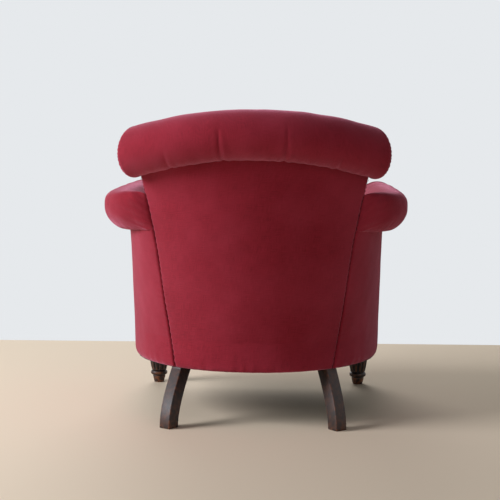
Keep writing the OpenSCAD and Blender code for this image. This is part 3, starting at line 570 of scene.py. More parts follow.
def back_pull(x, z):
    """How far buttons and pleats draw the face in: round dimples, and creases that run between them."""
    spots = [p for row in SPOTS for p in row]
    buttons = np.max([hump(np.hypot(x - p[0], z - p[1]), 23 * MM) for p in spots], axis=0)
    near = np.min([off_line(x, z, line) for line in pleat_lines()], axis=0)
    crease = ridge(near, 13 * MM)
    pillow = 1 - np.exp(-(near / (30 * MM)) ** 2)
    return np.maximum(30 * MM * buttons, 13 * MM * crease) - 5 * MM * pillow


def back_depth(s, v):
    side = mix(BACK_FACE, ARM_FACE, np.abs(s) ** 4)
    return mix(side, -CREST_R, ease((v - 0.62) / 0.38))


def roll_pleats(x, turn):
    """Pleats over the roll: each is narrow, deepest where the cloth is tacked under it, and fades upwards."""
    depth = 0 * (x + turn)
    for at, lean_out, start in zip(TOP_XS, (-16, 2, -3, 16), (0.66, 0.5, 0.48, 0.66)):
        line = at - lean_out * MM * (1 - turn)
        show = ease((turn - start) / 0.36)
        front = 1 - ease(turn / 0.28)
        wide = mix(2.2, 5.0, ease((turn - 0.55) / 0.45)) * MM
        depth = depth + (2.6 * show + 4.5 * front) * MM * ridge(x - line, wide)
        depth = depth - (0.7 * show + 1.6 * front) * MM * hump(np.abs(x - line) - 9 * MM, 6 * MM)
    return depth


def inside_back_cover():
    """Buttoned face and roll in one cloth, from the seat up over the crest and down to the outside back."""
    s = np.linspace(-1, 1, 271)[:, None]
    up = np.linspace(0, 1, 90)[None, :-1]
    z = face_z(s, up)
    x = s * back_edge_x(z)
    fade = 1 - np.abs(s) ** 6
    out = back_depth(s, up) + back_pull(x, z) * fade * (1 - ease((up - 0.93) / 0.07) * 0.55)
    out = out + 1.0 * MM * ripples(x, z, 31, 60 * MM)
    face = back_wall(x, z, out)
    turn = np.linspace(0, 1, 95)[None]
    angle = mix(math.pi, -math.pi / 2, turn)
    xr = s * ROLL_END + 0 * turn
    slope = -2 * CREST_DROP * xr / CREST_HALF ** 2
    tall = np.sqrt(1 + slope ** 2)
    r = CREST_R - roll_pleats(xr, turn) * fade
    r = r + 0.9 * MM * ripples(xr, turn * ROLL_ARC, 32, 140 * MM)
    r = r + 0.35 * MM * ripples(xr, turn * ROLL_ARC, 33, 45 * MM)
    r = r + 0.5 * MM * gathers(1 - turn, 0.12, xr, 26 * MM, 34, 90 * MM, 3)
    near = np.clip(r * np.cos(angle), None, 1)
    last = np.where(turn > 0.97, np.maximum(near, ROLL_GAP), near)
    roll = crest_spot(xr, last, r * tall * np.sin(angle))
    outer = np.concatenate([face, roll], axis=1)
    return skin("inside_back_linen", outer, back_lining(s[:, 0], outer.shape[1]))


def back_lining(stops, count):
    """The unseen side of the back: up the webbing and round the crest rail."""
    rows = []
    for s in stops:
        x = s * ROLL_END
        mid = crest_line_z(x)
        far = 28.4 * MM
        low, high = -22.4 * MM, 22.4 * MM
        line = [[PAD_OUT, z - mid] for z in np.linspace(TUCK_Z, mid + low, 9)]
        line += [[-far, low + 0.6 * MM], [-far, high], [far, high], [far, low], [ROLL_GAP, low]]
        line = resample(np.array(line), count)
        z = mid + line[:, 1]
        xs = np.where(line[:, 1] < low, s * back_edge_x(z), x)
        xs = mix(xs, x, ease((line[:, 1] - low + 90 * MM) / (90 * MM)))
        p = back_wall(xs, np.minimum(z, mid + low), line[:, 0])
        top = crest_spot(x, *line.T)
        rows.append(np.where((line[:, 1] < low)[:, None], p, top))
    return np.array(rows)


def roll_end_cap():
    """The roll cloth is gathered over the rounded end of the roll and sewn to a small round facing."""
    theta = np.linspace(0, 2 * math.pi, 241)[:, None]
    phi = np.linspace(0, math.pi / 2, 34)[None]
    bend = np.concatenate([phi, np.full((1, 8), math.pi / 2)], axis=1)
    inward = np.concatenate([0 * phi, np.linspace(0.12, 0.55, 8)[None]], axis=1)
    r = CREST_R - 24 * MM * (1 - np.cos(bend))
    folds = np.cos(36 * theta + 1.3 * np.sin(5 * theta) + 0.8 * np.sin(11 * theta + 2))
    deep = ease((bend - 0.55) / 0.8)
    r = r * (1 - inward) - 0.25 * MM
    out_way = END_LEN * np.sin(bend) - 0.3 * MM + 1.0 * MM * deep * folds - 2.2 * MM * (inward > 0.2)
    r = r + 0.7 * MM * folds * hump(bend - 0.9, 0.45)
    slope = -2 * CREST_DROP * ROLL_END / CREST_HALF ** 2
    tall = math.sqrt(1 + slope ** 2)
    p = crest_spot(ROLL_END, r * np.cos(theta), r * tall * np.sin(theta))
    level_way = back_way(ROLL_END, crest_line_z(ROLL_END))
    way = np.array([*level_way, slope * level_way[0]])
    p = p + out_way[..., None] * way
    rows, cols = p.shape[:2]
    points = np.concatenate([p[:-1].reshape(-1, 3), p[:-1, 0].mean(0)[None], p[:-1, -1].mean(0)[None]])
    faces = []
    for i in range(rows - 1):
        a, b = i * cols, (i + 1) % (rows - 1) * cols
        faces += [(a + j, b + j, b + j + 1, a + j + 1) for j in range(cols - 1)]
        faces += [(a, len(points) - 2, b), (a + cols - 1, b + cols - 1, len(points) - 1)]
    uv = np.stack([theta * CREST_R + 0 * bend, lengths(p, 1)], -1)[:-1].reshape(-1, 2)
    gathered = mesh_object("back_roll_end_left", points, faces, np.concatenate([uv, [[0, 0], [0, 0.1]]]))
    return gathered, p[:-1, -1].mean(0), way


def dome(name, centre, way, radius, height, folds=0, depth=0.0):
    """A cloth-covered round form: a low dome with its edge turned under, lying on a point, facing a way."""
    axis = Vector(way).normalized()
    turn = axis.to_track_quat("Z", "Y").to_matrix()
    points, uv = [], []
    rings, spots = 12, 48
    rounds = [2 * math.pi * k / spots for k in range(spots)]
    for i in range(rings + 1):
        a = math.pi / 2 * i / rings
        for t in rounds:
            far = radius * math.sin(a) * (1 + depth * math.cos(folds * t) * math.sin(a) ** 3)
            x, y = far * math.cos(t), far * math.sin(t)
            points.append(Vector(centre) + turn @ Vector((x, y, height * math.cos(a) ** 0.8)))
            uv.append((x, y))
    for t in rounds:
        x, y = radius * math.cos(t), radius * math.sin(t)
        points.append(Vector(centre) + turn @ Vector((0.8 * x, 0.8 * y, -0.1 * height)))
        uv.append((x, y))
    piece = mesh_object(name, points, ring_faces(rings + 2, spots), uv)
    work = bmesh.new()
    work.from_mesh(piece.data)
    bmesh.ops.remove_doubles(work, verts=work.verts, dist=1e-6)
    bmesh.ops.recalc_face_normals(work, faces=work.faces)
    work.to_mesh(piece.data)
    work.free()
    return piece


# What repeats is placed by Geometry Nodes: a form on each point, its Z along "way" and its X along "run"
def placed_forms(name, spots, ways, runs, form, material, size):
    mesh = bpy.data.meshes.new(name)
    mesh.from_pydata([tuple(p) for p in spots], [], [])
    for label, values in (("way", ways), ("run", runs)):
        data = mesh.attributes.new(label, "FLOAT_VECTOR", "POINT").data
        data.foreach_set("vector", np.asarray(values, np.float32).ravel())
    piece = new_object(name, mesh)
    tree = bpy.data.node_groups.new(name, "GeometryNodeTree")
    sockets = {}
    inputs = {"Geometry": "Geometry", "Form": "Object", "Size": "Float", "Material": "Material"}
    for label, kind in inputs.items():
        made = tree.interface.new_socket(name=label, in_out="INPUT", socket_type="NodeSocket" + kind)
        sockets[label] = made.identifier
    tree.interface.new_socket(name="Geometry", in_out="OUTPUT", socket_type="NodeSocketGeometry")
    given = add(tree, "NodeGroupInput")
    info = add(tree, "GeometryNodeObjectInfo", {"Object": given.outputs["Form"]})
    way = add(tree, "GeometryNodeInputNamedAttribute", {"Name": "way"}, data_type="FLOAT_VECTOR")
    run = add(tree, "GeometryNodeInputNamedAttribute", {"Name": "run"}, data_type="FLOAT_VECTOR")
    upright = add(tree, "FunctionNodeAlignRotationToVector", {"Vector": way}, axis="Z")
    turned = add(tree, "FunctionNodeAlignRotationToVector", {"Rotation": upright, "Vector": run}, axis="X",
                 pivot_axis="Z")
    dots = add(tree, "GeometryNodeMeshToPoints", {"Mesh": given.outputs["Geometry"]})
    forms = add(tree, "GeometryNodeInstanceOnPoints", {
        "Points": dots, "Instance": info.outputs["Geometry"], "Rotation": turned,
        "Scale": given.outputs["Size"]})
    real = add(tree, "GeometryNodeRealizeInstances", {"Geometry": forms})
    finish = add(tree, "GeometryNodeSetMaterial", {"Geometry": real, "Material": given.outputs["Material"]})
    add(tree, "NodeGroupOutput", {"Geometry": finish})
    modifier = piece.modifiers.new(name, "NODES")
    modifier.node_group = tree
    modifier[sockets["Form"]] = form
    modifier[sockets["Size"]] = size
    modifier[sockets["Material"]] = material
    bake(piece)
    piece.data.polygons.foreach_set("use_smooth", [True] * len(piece.data.polygons))
    return piece


def add(tree, kind, fill=None, **settings):
    """Adds a node to a tree, with its settings, and fills its sockets with values, with other sockets or,
    where another node is given, with the first socket of that node."""
    made = tree.nodes.new(kind)
    for label, value in settings.items():
        setattr(made, label, value)
    for label, value in (fill or {}).items():
        if isinstance(value, bpy.types.Node):
            value = value.outputs[0]
        if isinstance(value, bpy.types.NodeSocket):
            tree.links.new(value, made.inputs[label])
        else:
            made.inputs[label].default_value = value
    return made


def capsule(name, length, width):
    """One stitch: a short thread, thickest in the middle."""
    mesh = bpy.data.meshes.new(name)
    work = bmesh.new()
    bmesh.ops.create_uvsphere(work, u_segments=6, v_segments=5, radius=0.5)
    for v in work.verts:
        v.co = Vector((v.co.z * length, v.co.x * width, v.co.y * width * 0.7))
    bmesh.ops.recalc_face_normals(work, faces=work.faces)
    work.to_mesh(mesh)
    work.free()
    return new_object(name, mesh)


def tube(name, line, radius, closed=False, across=(0, 1, 0)):
    """A round welt along a line of points, which nowhere runs along `across`."""
    sides = 10
    ahead = np.roll(line, -1, 0) - np.roll(line, 1, 0)
    if not closed:
        ahead[0], ahead[-1] = line[1] - line[0], line[-1] - line[-2]
    ahead = unit(ahead)
    side = unit(np.cross(ahead, across))
    up = np.cross(side, ahead)
    turn = np.linspace(0, 2 * math.pi, sides, endpoint=False)
    round_way = np.cos(turn)[:, None] * side[:, None] + np.sin(turn)[:, None] * up[:, None]
    rings = line[:, None] + radius * round_way
    run = np.concatenate([[0], np.cumsum(np.linalg.norm(np.diff(line, axis=0), axis=-1))])
    uv = np.stack(np.broadcast_arrays(turn[None] * radius, run[:, None]), -1).reshape(-1, 2)
    return mesh_object(name, rings.reshape(-1, 3), ring_faces(len(line), sides, closed), uv)


# Front: facings of the arms and the border under the seat
def inset_outline(outline, amount):
    ahead = unit(np.roll(outline, -1, 0) - np.roll(outline, 1, 0))
    inward = np.stack([-ahead[:, 1], ahead[:, 0]], -1)
    turn = np.sum(outline[:, 0] * np.roll(outline[:, 1], -1) - outline[:, 1] * np.roll(outline[:, 0], -1))
    return outline + amount * np.sign(turn) * inward


def padded_board(name, outline, y_back, y_front, edge):
    """A covered board: an outline in X and Z, with its front edge rounded over padding."""
    rings = []
    depth = y_back - y_front
    for share in (0.0, 0.35, 0.7):
        rings.append((outline, y_back - share * (depth - edge)))
    for a in np.linspace(0, math.pi / 2, 8):
        rings.append((inset_outline(outline, edge * (1 - math.cos(a))), y_front + edge * (1 - math.sin(a))))
    points = [(p[0], y, p[1]) for ring, y in rings for p in ring]
    uv = [(p[0], p[2]) for p in points]
    return mesh_object(name, points, ring_faces(len(rings), len(outline)), uv)


def arm_facing_outline():
    s = np.linspace(0, 1, 30)[:-1]
    z = mix(TUCK_Z, ARM_Z, s)
    face = np.stack([side_x(z) + mix(ARM_FACE, ARM_OUT - ARM_R, ease(s)) - under_roll(z), z], -1)
    centre = np.array([side_x(ARM_Z) + ARM_OUT, ARM_Z])
    angle = np.linspace(math.pi, ARM_END - 0.12, 90)
    scroll = centre + ARM_R * np.stack([np.cos(angle), np.sin(angle)], -1)
    scroll[:, 0] -= np.maximum(0, -np.cos(angle)) * under_roll(scroll[:, 1])
    low = side_x(BASE_Z)
    down = np.linspace(scroll[-1, 1] - 4 * MM, BASE_Z + 3 * MM, 30)
    outer = pair(side_x(down), down)
    bottom = np.array([[low - 3 * MM, BASE_Z], [low + ARM_FACE + 3 * MM, BASE_Z],
                       [low + ARM_FACE, BASE_Z + 3 * MM]])
    up = np.linspace(BASE_Z + 14 * MM, TUCK_Z - 8 * MM, 12)
    inner = pair(side_x(up) + ARM_FACE, up)
    return np.concatenate([face, scroll, outer, bottom, inner])


def front_pieces():
    outline = arm_facing_outline()
    outline = resample(np.concatenate([outline, outline[:1]]), 260)[:-1]
    facing = padded_board("arm_facing_left_linen", outline, BOARD_Y, BOARD_Y - FACING_T, 5 * MM)
    # The welt runs up from the seat, round the scroll and down the outer side
    shown = outline[(outline[:, 1] > 340 * MM) | (outline[:, 0] > side_x(BASE_Z) - 30 * MM)]
    start = np.argmin(np.hypot(shown[:, 0] - (side_x(TUCK_Z) + ARM_FACE), shown[:, 1] - 350 * MM))
    sewn = inset_outline(np.roll(shown, -start, 0), 0.2 * MM)
    line = np.insert(sewn, 1, BOARD_Y - 1.5 * MM, axis=1)
    return facing, tube("arm_facing_left_welt", resample(line, 300), FACING_WELT_R)


# Seat
def seat_ring(z, inset, front_y):
    """Half of the seat's outline at a height, from the front corner round to the middle of the back."""
    along = np.concatenate([np.linspace(3 - PROBE, 2, 32)[:-1], np.linspace(2, 0, 32)])
    s = np.minimum(1, along)
    out = mix(BACK_FACE, ARM_FACE, s ** 4) - 0.6 * MM - inset
    half = wall(along, z, out)
    half[0, 1] = front_y + SHIFT_Y + inset
    return half


def seat_form(inset):
    """The sprung seat before its cloth swells: a slab with a soft edge and a crowned top."""
    rings = []
    front = FRONT_Y + JOINT
    for up, draw in ((0, 3), (5, 1), (22, 0), (38, 4), (44, 10)):
        z = SEAT_Z + up * MM
        half = seat_ring(z, inset + draw * MM, front)
        cross = np.linspace(-1, 1, 26)[1:-1, None] * [half[0, 0], 0, 0] + [0, half[0, 1], z]
        rings.append(np.concatenate([half[::-1], cross[::-1], half[:-1] * [-1, 1, 1]]))
    centre = np.array([0, SHIFT_Y - 60 * MM, 0])
    for share in (0.9, 0.75, 0.55, 0.35, 0.15):
        ring = (rings[4] - centre) * [share, share, 1] + centre
        ring[:, 2] = SEAT_Z + 44 * MM + 26 * MM * (1 - share ** 2)
        rings.append(ring)
    return mesh_object("seat_linen", np.concatenate(rings), ring_faces(len(rings), len(rings[0])))


def swollen_seat():
    """The seat as cloth: blown up by its stuffing, with a cap on how far."""
    piece = seat_form(5 * MM)
    remesh = piece.modifiers.new("remesh", "REMESH")
    remesh.mode = "VOXEL"
    remesh.voxel_size = 7 * MM
    bake(piece)
    before = points_of(piece)
    cloth = piece.modifiers.new("cloth", "CLOTH")
    cloth.settings.quality = 6
    cloth.settings.mass = 0.3
    cloth.settings.tension_stiffness = 12
    cloth.settings.compression_stiffness = 6
    cloth.settings.bending_stiffness = 0.6
    cloth.settings.use_pressure = True
    cloth.settings.uniform_pressure_force = 4
    cloth.settings.effector_weights.gravity = 0
    scene = bpy.context.scene
    for at in range(1, 21):
        scene.frame_set(at)
    bake(piece)
    scene.frame_set(1)
    after = points_of(piece)
    moved = after - before
    far = np.linalg.norm(moved, axis=1, keepdims=True)
    moved *= np.minimum(1, SWELL_CAP / np.maximum(far, 1e-9))
    moved[:, 2] *= np.clip((before[:, 2] - SEAT_Z) / (12 * MM), 0, 1)
    set_points(piece, before + moved)
    smooth = piece.modifiers.new("smooth", "SUBSURF")
    smooth.levels = smooth.render_levels = 1
    bake(piece)
    p = points_of(piece)
    x, y = p[:, 0], p[:, 1]
    fold = ripples(x, y, 41, 130 * MM) * 1.3 * MM + ripples(x, y, 42, 48 * MM) * 0.35 * MM
    p[:, 2] += fold * np.clip((p[:, 2] - SEAT_Z - 20 * MM) / (20 * MM), 0, 1)
    set_points(piece, p)
    lay_cloth(piece.data, np.stack([p[:, 0], p[:, 1] - p[:, 2]], -1))
    tidy_shading(piece, 60)
    return piece


def points_of(piece):
    p = np.zeros(len(piece.data.vertices) * 3)
    piece.data.vertices.foreach_get("co", p)
    return p.reshape(-1, 3)


def set_points(piece, points):
    piece.data.vertices.foreach_set("co", points.ravel())
    piece.data.update()


def bake(piece):
    """Turns what the modifiers show into the piece's own mesh."""
    bpy.context.view_layer.update()
    seen = piece.evaluated_get(bpy.context.evaluated_depsgraph_get())
    mesh = bpy.data.meshes.new_from_object(seen)
    piece.modifiers.clear()
    piece.data = mesh
    mesh.name = piece.name


# Legs
def ringed_piece(name, rings, worn):
    """A solid through rings of equal count, closed by its end faces, with wear kept as an attribute."""
    points = np.concatenate(rings)
    piece = mesh_object(name, points, ring_faces(len(rings), len(rings[0])))
    data = piece.data.attributes.new("worn", "FLOAT", "POINT").data
    data.foreach_set("value", np.asarray(worn, np.float32).ravel())
    return piece


def back_leg():
    """Sabre leg sawn from square stuff in one with the back upright, its edges eased and worn."""
    heights = np.concatenate([
        [0, 1.2 * MM], np.linspace(4 * MM, BASE_Z, 30), np.linspace(RAIL_TOP, POST_TOP, 8)])
    rings, worn = [], []
    for z in heights:
        share = min(1, z / BASE_Z)
        deep = mix(LEG_DEEP_LOW, LEG_DEEP_HIGH, share)
        x = post_x(z)
        way = back_way(x, max(z, RAIL_Z))
        p = back_wall(x, max(z, RAIL_Z), POST_OUT - deep / 2)[:2]
        out = np.array([-way[1], way[0]])
        sweep = math.cos(math.pi / 2 * share) * np.array(LEG_SPLAY)
        draw = 1.2 * MM if z == 0 else 0
        ring, wear = [], []
        for cx, cy, start in ((-1, -1, math.pi), (1, -1, 1.5 * math.pi), (1, 1, 0), (-1, 1, 0.5 * math.pi)):
            for k in range(6):
                a = start + math.pi / 2 * k / 5
                u = cx * (POST_T / 2 - EDGE_R - draw) + EDGE_R * math.cos(a)
                w = cy * (deep / 2 - EDGE_R - draw) + EDGE_R * math.sin(a)
                spot = p + way * u + out * w + sweep
                ring.append((spot[0], spot[1], z))
                at_edge = 0.75 if 0 < k < 5 else 0.25
                wear.append(max(at_edge * (0.45 + 0.55 * math.exp(-z / 0.03)), math.exp(-z / 0.005)))
        rings.append(ring)
        worn.append(wear)
    return ringed_piece("back_leg_left_beech", rings, worn)


def front_leg():
    """Turned leg: a reeded taper over a ring and a small foot, with the spigot that the block holds."""
    centre = np.array([BODY_R - 33.5 * MM, SHIFT_Y - STRAIGHT + 29 * MM])
    top = RAIL_Z / MM - 8
    # Height, radius and how deep the reeds are cut there, in mm and as a share
    profile = [(0, 11.8, 0), (0.6, 13.3, 0), (2, 14, 0), (9, 15.7, 0), (15, 17.2, 0), (18, 17.5, 0),
               (19.8, 17, 0), (20.5, 16.5, 0)]
    profile += [(27.3 - 6.2 * math.cos(a), 17 + 6.4 * math.sin(a) ** 0.8, 0)
                for a in np.linspace(0.25, math.pi - 0.25, 14)]
    profile += [(34.2, 17.6, 0), (34.8, 18.4, 0.1)]
    for t in np.linspace(0, 1, 36):
        start = math.sqrt(max(0, 1 - (1 - min(1, t / 0.12)) ** 2))
        deep = min(1, start + 0.1) * min(1, 0.15 + (1 - t) / 0.08)
        profile.append((mix(35.6, top, t), mix(20.6, 28.7, 1 - (1 - t) ** 3.4), deep))
    profile += [(top + 0.4, 28.9, 0), (top + 1.5, 29, 0), (top + 7.5, 29, 0), (top + 8, 28.6, 0),
                (top + 8, 11, 0), (top + 62, 11, 0), (top + 63, 10.2, 0)]
    spots = 168
    turn = np.linspace(0, 2 * math.pi, spots, endpoint=False)
    reed = np.abs(np.sin(6 * turn))
    rings, worn = [], []
    for z, r, deep in profile:
        radius = (r - deep * 3.4 * (1 - reed ** 0.55)) * MM
        spot = [centre[0] + radius * np.cos(turn), centre[1] + radius * np.sin(turn), np.full(spots, z * MM)]
        rings.append(np.stack(spot, -1))
        rubbed = 0.9 if z < 1 else 0.75 * (z < 19) + 0.5 * (24 < z < 31)
        worn.append(rubbed + 0.42 * (reed > 0.9) * (deep > 0.3))
    return ringed_piece("front_leg_left_beech", rings, worn)


# Sewing
def seam_stitches(material, form):
    """Slip stitches that close the outside back on to the outside arms."""
    spots, ways, runs = [], [], []
    for side in (-1, 1):
        for z in np.arange(BASE_Z + 16 * MM, STITCH_TOP, STITCH_PITCH):
            x = seam_x(z)
            p = back_wall(x, z, -0.6 * MM)
            up = back_wall(seam_x(z + MM), z + MM, -0.6 * MM) - p
            way = back_way(x, z)
            spots.append(p * [side, 1, 1])
            ways.append(np.array([-way[1] * side, way[0], 0]))
            slant = 0.35 * np.linalg.norm(up) * np.array([way[0] * side, way[1], 0])
            runs.append(unit(up * [side, 1, 1] + slant))
    return placed_forms("seam_stitches", spots, ways, runs, form, material, 1.0)


def button_places():
    places, ways = [], []
    for (v, row), spots in zip(BUTTON_ROWS, SPOTS):
        for s, spot in zip(row, spots):
            out = back_depth(s, v) + 30 * MM * (1 - abs(s) ** 6)
            way = back_way(*spot)
            places.append(back_wall(*spot, out - 6.5 * MM))
            ways.append(np.array([way[1], -way[0], -0.08]))
    return places, ways


# Finishes
def linear(hex_colour):
    """An sRGB hex colour as Blender wants it."""
    parts = [int(hex_colour[i:i + 2], 16) / 255 for i in (1, 3, 5)]
    return tuple(c / 12.92 if c <= 0.04045 else ((c + 0.055) / 1.055) ** 2.4 for c in parts) + (1,)


def surface(name, **settings):
    """A new material with its node tree, its shader's plain values set on its own sockets."""
    material = bpy.data.materials.new(name)
    material.use_nodes = True
    shader = material.node_tree.nodes["Principled BSDF"]
    for label, value in settings.items():
        shader.inputs[label.replace("_", " ")].default_value = value
    return material, material.node_tree


def feed(tree, colour, **nodes):
    """Links the colour, and the first output of each other node, to the shader's sockets of those names."""
    inputs = tree.nodes["Principled BSDF"].inputs
    tree.links.new(colour.outputs[2], inputs["Base Color"])
    for label, node in nodes.items():
        tree.links.new(node.outputs[0], inputs[label])


def crossed_fibres(tree, places, scales):
    """Two sets of fibres that lie across each other, added up: noise drawn out along each."""
    runs = []
    for scale in scales:
        drawn = add(tree, "ShaderNodeMapping", {"Vector": places, "Scale": scale})
        runs.append(add(tree, "ShaderNodeTexNoise", {"Vector": drawn, "Scale": 1.0}))
    return add(tree, "ShaderNodeMath", {0: runs[0], 1: runs[1]}, operation="ADD")


def woven(name, dark, mid, pale, sheen, weave):
    """Plain-woven linen: slubs 25 mm long in warp and weft, its threads crossing at the given spacing,
    slow fading over a hand's breadth, and a dry pink bloom where light grazes it."""
    material, tree = surface(
        name, Roughness=0.92, Specular_IOR_Level=0.2, Sheen_Weight=sheen, Sheen_Roughness=0.45,
        Sheen_Tint=linear("#FFA9C4"))
    flat = add(tree, "ShaderNodeUVMap", uv_map="cloth")
    solid = add(tree, "ShaderNodeTexCoord").outputs["Object"]
    both = crossed_fibres(tree, flat, ((40, 900, 1), (900, 40, 1)))
    slubs = add(tree, "ShaderNodeMapRange", {"Value": both, "From Min": 0.72, "From Max": 1.28})
    base = add(tree, "ShaderNodeMix", {0: slubs, 6: linear(dark), 7: linear(mid)}, data_type="RGBA")
    slow = add(tree, "ShaderNodeTexNoise", {"Vector": solid, "Scale": 8.0, "Detail": 3.0})
    faded = add(tree, "ShaderNodeMapRange", {"Value": slow, "From Min": 0.35, "From Max": 0.7, "To Max": 0.4})
    colour = add(tree, "ShaderNodeMix", {0: faded, 6: base.outputs[2], 7: linear(pale)}, data_type="RGBA")
    threads = []
    for way in ("X", "Y"):
        # A wave of scale 0.32 comes round once in a unit, so that a unit here is one thread
        spaced = add(tree, "ShaderNodeMapping", {"Vector": flat, "Scale": (1 / weave,) * 3})
        wave = add(tree, "ShaderNodeTexWave", {
            "Vector": spaced, "Scale": 0.32, "Distortion": 0.6, "Detail": 1.0}, bands_direction=way)
        threads.append(wave.outputs[1])
    cross = add(tree, "ShaderNodeMath", {0: threads[0], 1: threads[1]}, operation="MAXIMUM")
    relief = add(tree, "ShaderNodeMath", {0: cross, 1: both}, operation="ADD")
    bump = add(tree, "ShaderNodeBump", {"Height": relief, "Strength": 0.4, "Distance": 0.35 * MM})
    feed(tree, colour, Normal=bump)
    return material


def timber(name, dark, light, bare, across, along, roughness, coat):
    """Wood whose grain is noise drawn out along one axis: scales across and along it give pores about
    4 mm apart. Where a mesh carries "worn", its finish is rubbed through to bare wood in patches."""
    material, tree = surface(
        name, Roughness=roughness, Specular_IOR_Level=0.35, Coat_Weight=coat, Coat_Roughness=0.4)
    solid = add(tree, "ShaderNodeTexCoord").outputs["Object"]
    drawn = add(tree, "ShaderNodeMapping", {"Vector": solid, "Scale": across})
    grain = add(tree, "ShaderNodeTexNoise", {"Vector": drawn, "Scale": 1.0, "Detail": 4.0})
    wide = add(tree, "ShaderNodeMapping", {"Vector": solid, "Scale": along})
    bands = add(tree, "ShaderNodeTexNoise", {"Vector": wide, "Scale": 1.0, "Detail": 3.0})
    lines = add(tree, "ShaderNodeMath", {0: grain, 1: bands}, operation="ADD")
    shade = add(tree, "ShaderNodeMapRange", {"Value": lines, "From Min": 0.75, "From Max": 1.25})
    stained = add(tree, "ShaderNodeMix", {0: shade, 6: linear(dark), 7: linear(light)}, data_type="RGBA")
    rubbed = add(tree, "ShaderNodeAttribute", attribute_name="worn").outputs["Fac"]
    broken = add(tree, "ShaderNodeTexNoise", {"Vector": solid, "Scale": 90.0, "Detail": 5.0})
    patches = add(tree, "ShaderNodeMapRange", {"Value": broken, "From Min": 0.42, "From Max": 0.66})
    wear = add(tree, "ShaderNodeMath", {0: rubbed, 1: patches}, operation="MULTIPLY")
    colour = add(tree, "ShaderNodeMix", {0: wear, 6: stained.outputs[2], 7: linear(bare)}, data_type="RGBA")
    rough = add(tree, "ShaderNodeMapRange", {
        "Value": grain, "To Min": roughness - 0.12, "To Max": roughness + 0.18})
    bump = add(tree, "ShaderNodeBump", {"Height": grain, "Strength": 0.3, "Distance": 0.4 * MM})
    feed(tree, colour, Roughness=rough, Normal=bump)
    return material


def rough_fibre(name, dark, light, thread):
    """Coarse crossed fibres, about a thread apart, for the pieces under the covers, which have no UV map."""
    material, tree = surface(name, Roughness=0.95, Sheen_Weight=0.15)
    solid = add(tree, "ShaderNodeTexCoord").outputs["Object"]
    thin, wide, half = 1 / thread, 0.1 / thread, 0.5 / thread
    fibres = crossed_fibres(tree, solid, ((thin, wide, half), (wide, thin, half)))
    shade = add(tree, "ShaderNodeMapRange", {"Value": fibres, "From Min": 0.75, "From Max": 1.25})
    colour = add(tree, "ShaderNodeMix", {0: shade, 6: linear(dark), 7: linear(light)}, data_type="RGBA")
    bump = add(tree, "ShaderNodeBump", {"Height": fibres, "Strength": 0.5, "Distance": 0.6 * MM})
    feed(tree, colour, Normal=bump)
    return material


def steel(name, dark, light, roughness):
    """Bare or blued steel, dulled in patches some 15 mm wide by handling and air."""
    material, tree = surface(name, Metallic=1.0)
    solid = add(tree, "ShaderNodeTexCoord").outputs["Object"]
    dull = add(tree, "ShaderNodeTexNoise", {"Vector": solid, "Scale": 65.0, "Detail": 4.0})
    colour = add(tree, "ShaderNodeMix", {0: dull, 6: linear(dark), 7: linear(light)}, data_type="RGBA")
    rough = add(tree, "ShaderNodeMapRange", {
        "Value": dull, "To Min": roughness - 0.1, "To Max": roughness + 0.2})
    feed(tree, colour, Roughness=rough)
    return material


# Linen dyed crimson, plain woven, dry and matt. Its threads lie 0.7 mm apart, drawn at 1.7 mm to show
crimson_linen = woven("crimson_linen_plain_weave", "#781220", "#981F30", "#AB3548", 0.6, 1.7 * MM)
# Waxed linen sewing thread of the same dye, a little darker than the cloth
crimson_thread = woven("crimson_linen_thread", "#4A0A12", "#68141E", "#74202A", 0.15, 0.6 * MM)
# Beech stained almost black and waxed by hand, browner where shoes and brooms have rubbed its edges
stained_beech = timber("stained_beech_waxed", "#130B08", "#33201A", "#94552F", (260, 260, 14), (45, 45, 5),
                       0.5, 0.12)
# Beech as it left the saw under the covers: pale, dry, with long streaks
sawn_beech = timber("sawn_beech_bare", "#B98F63", "#D6B48A", "#D6B48A", (14, 260, 260), (5, 45, 45),
                    0.78, 0.0)
# Dyed cotton calico that closes the underside: thin, dull and black
black_cotton = rough_fibre("black_cotton_calico", "#0C0B0B", "#201E1D", 1.1 * MM)
# Jute webbing, hessian and twine: coarse, golden brown bast fibre
woven_jute = rough_fibre("woven_jute", "#86683C", "#BA9A62", 2.2 * MM)
# Curled horsehair under linen scrim: springy, brown and uneven
curled_hair = rough_fibre("curled_hair_under_scrim", "#5B452C", "#8D7048", 4.0 * MM)
# Drawn steel wire of the springs: grey with a low shine
spring_wire = steel("drawn_steel_wire", "#6F6F70", "#A3A3A2", 0.4)
# Cut steel tacks, blued by heat: dark with a dull glint
blued_tacks = steel("blued_cut_tacks", "#23252B", "#4A4B50", 0.5)

FINISHES = {
    "crimson_cloth": crimson_linen, "bottom_cloth": black_cotton, "dark_wood": stained_beech,
    "frame_beech": sawn_beech, "jute": woven_jute, "stuffing": curled_hair, "spring_steel": spring_wire,
    "tack_steel": blued_tacks,
}
for part in frame["record"]["subparts"]:
    slots = frame["nodes"][part["node"]].data.materials
    for index in range(len(slots)):
        slots[index] = FINISHES[part["material_slot"]]


def dress(piece, material, nodes):
    """Gives a piece its finish and its place on the chair, and hides the CAD nodes that it stands for."""
    piece.data.materials.clear()
    piece.data.materials.append(material)
    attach(piece, "root")
    if nodes:
        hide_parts(*nodes)


def both_sides(piece, material, node):
    right = mirrored(piece.name.replace("left", "right"), piece)
    dress(piece, material, [node + "_left"] if node else [])
    dress(right, material, [node + "_right"] if node else [])


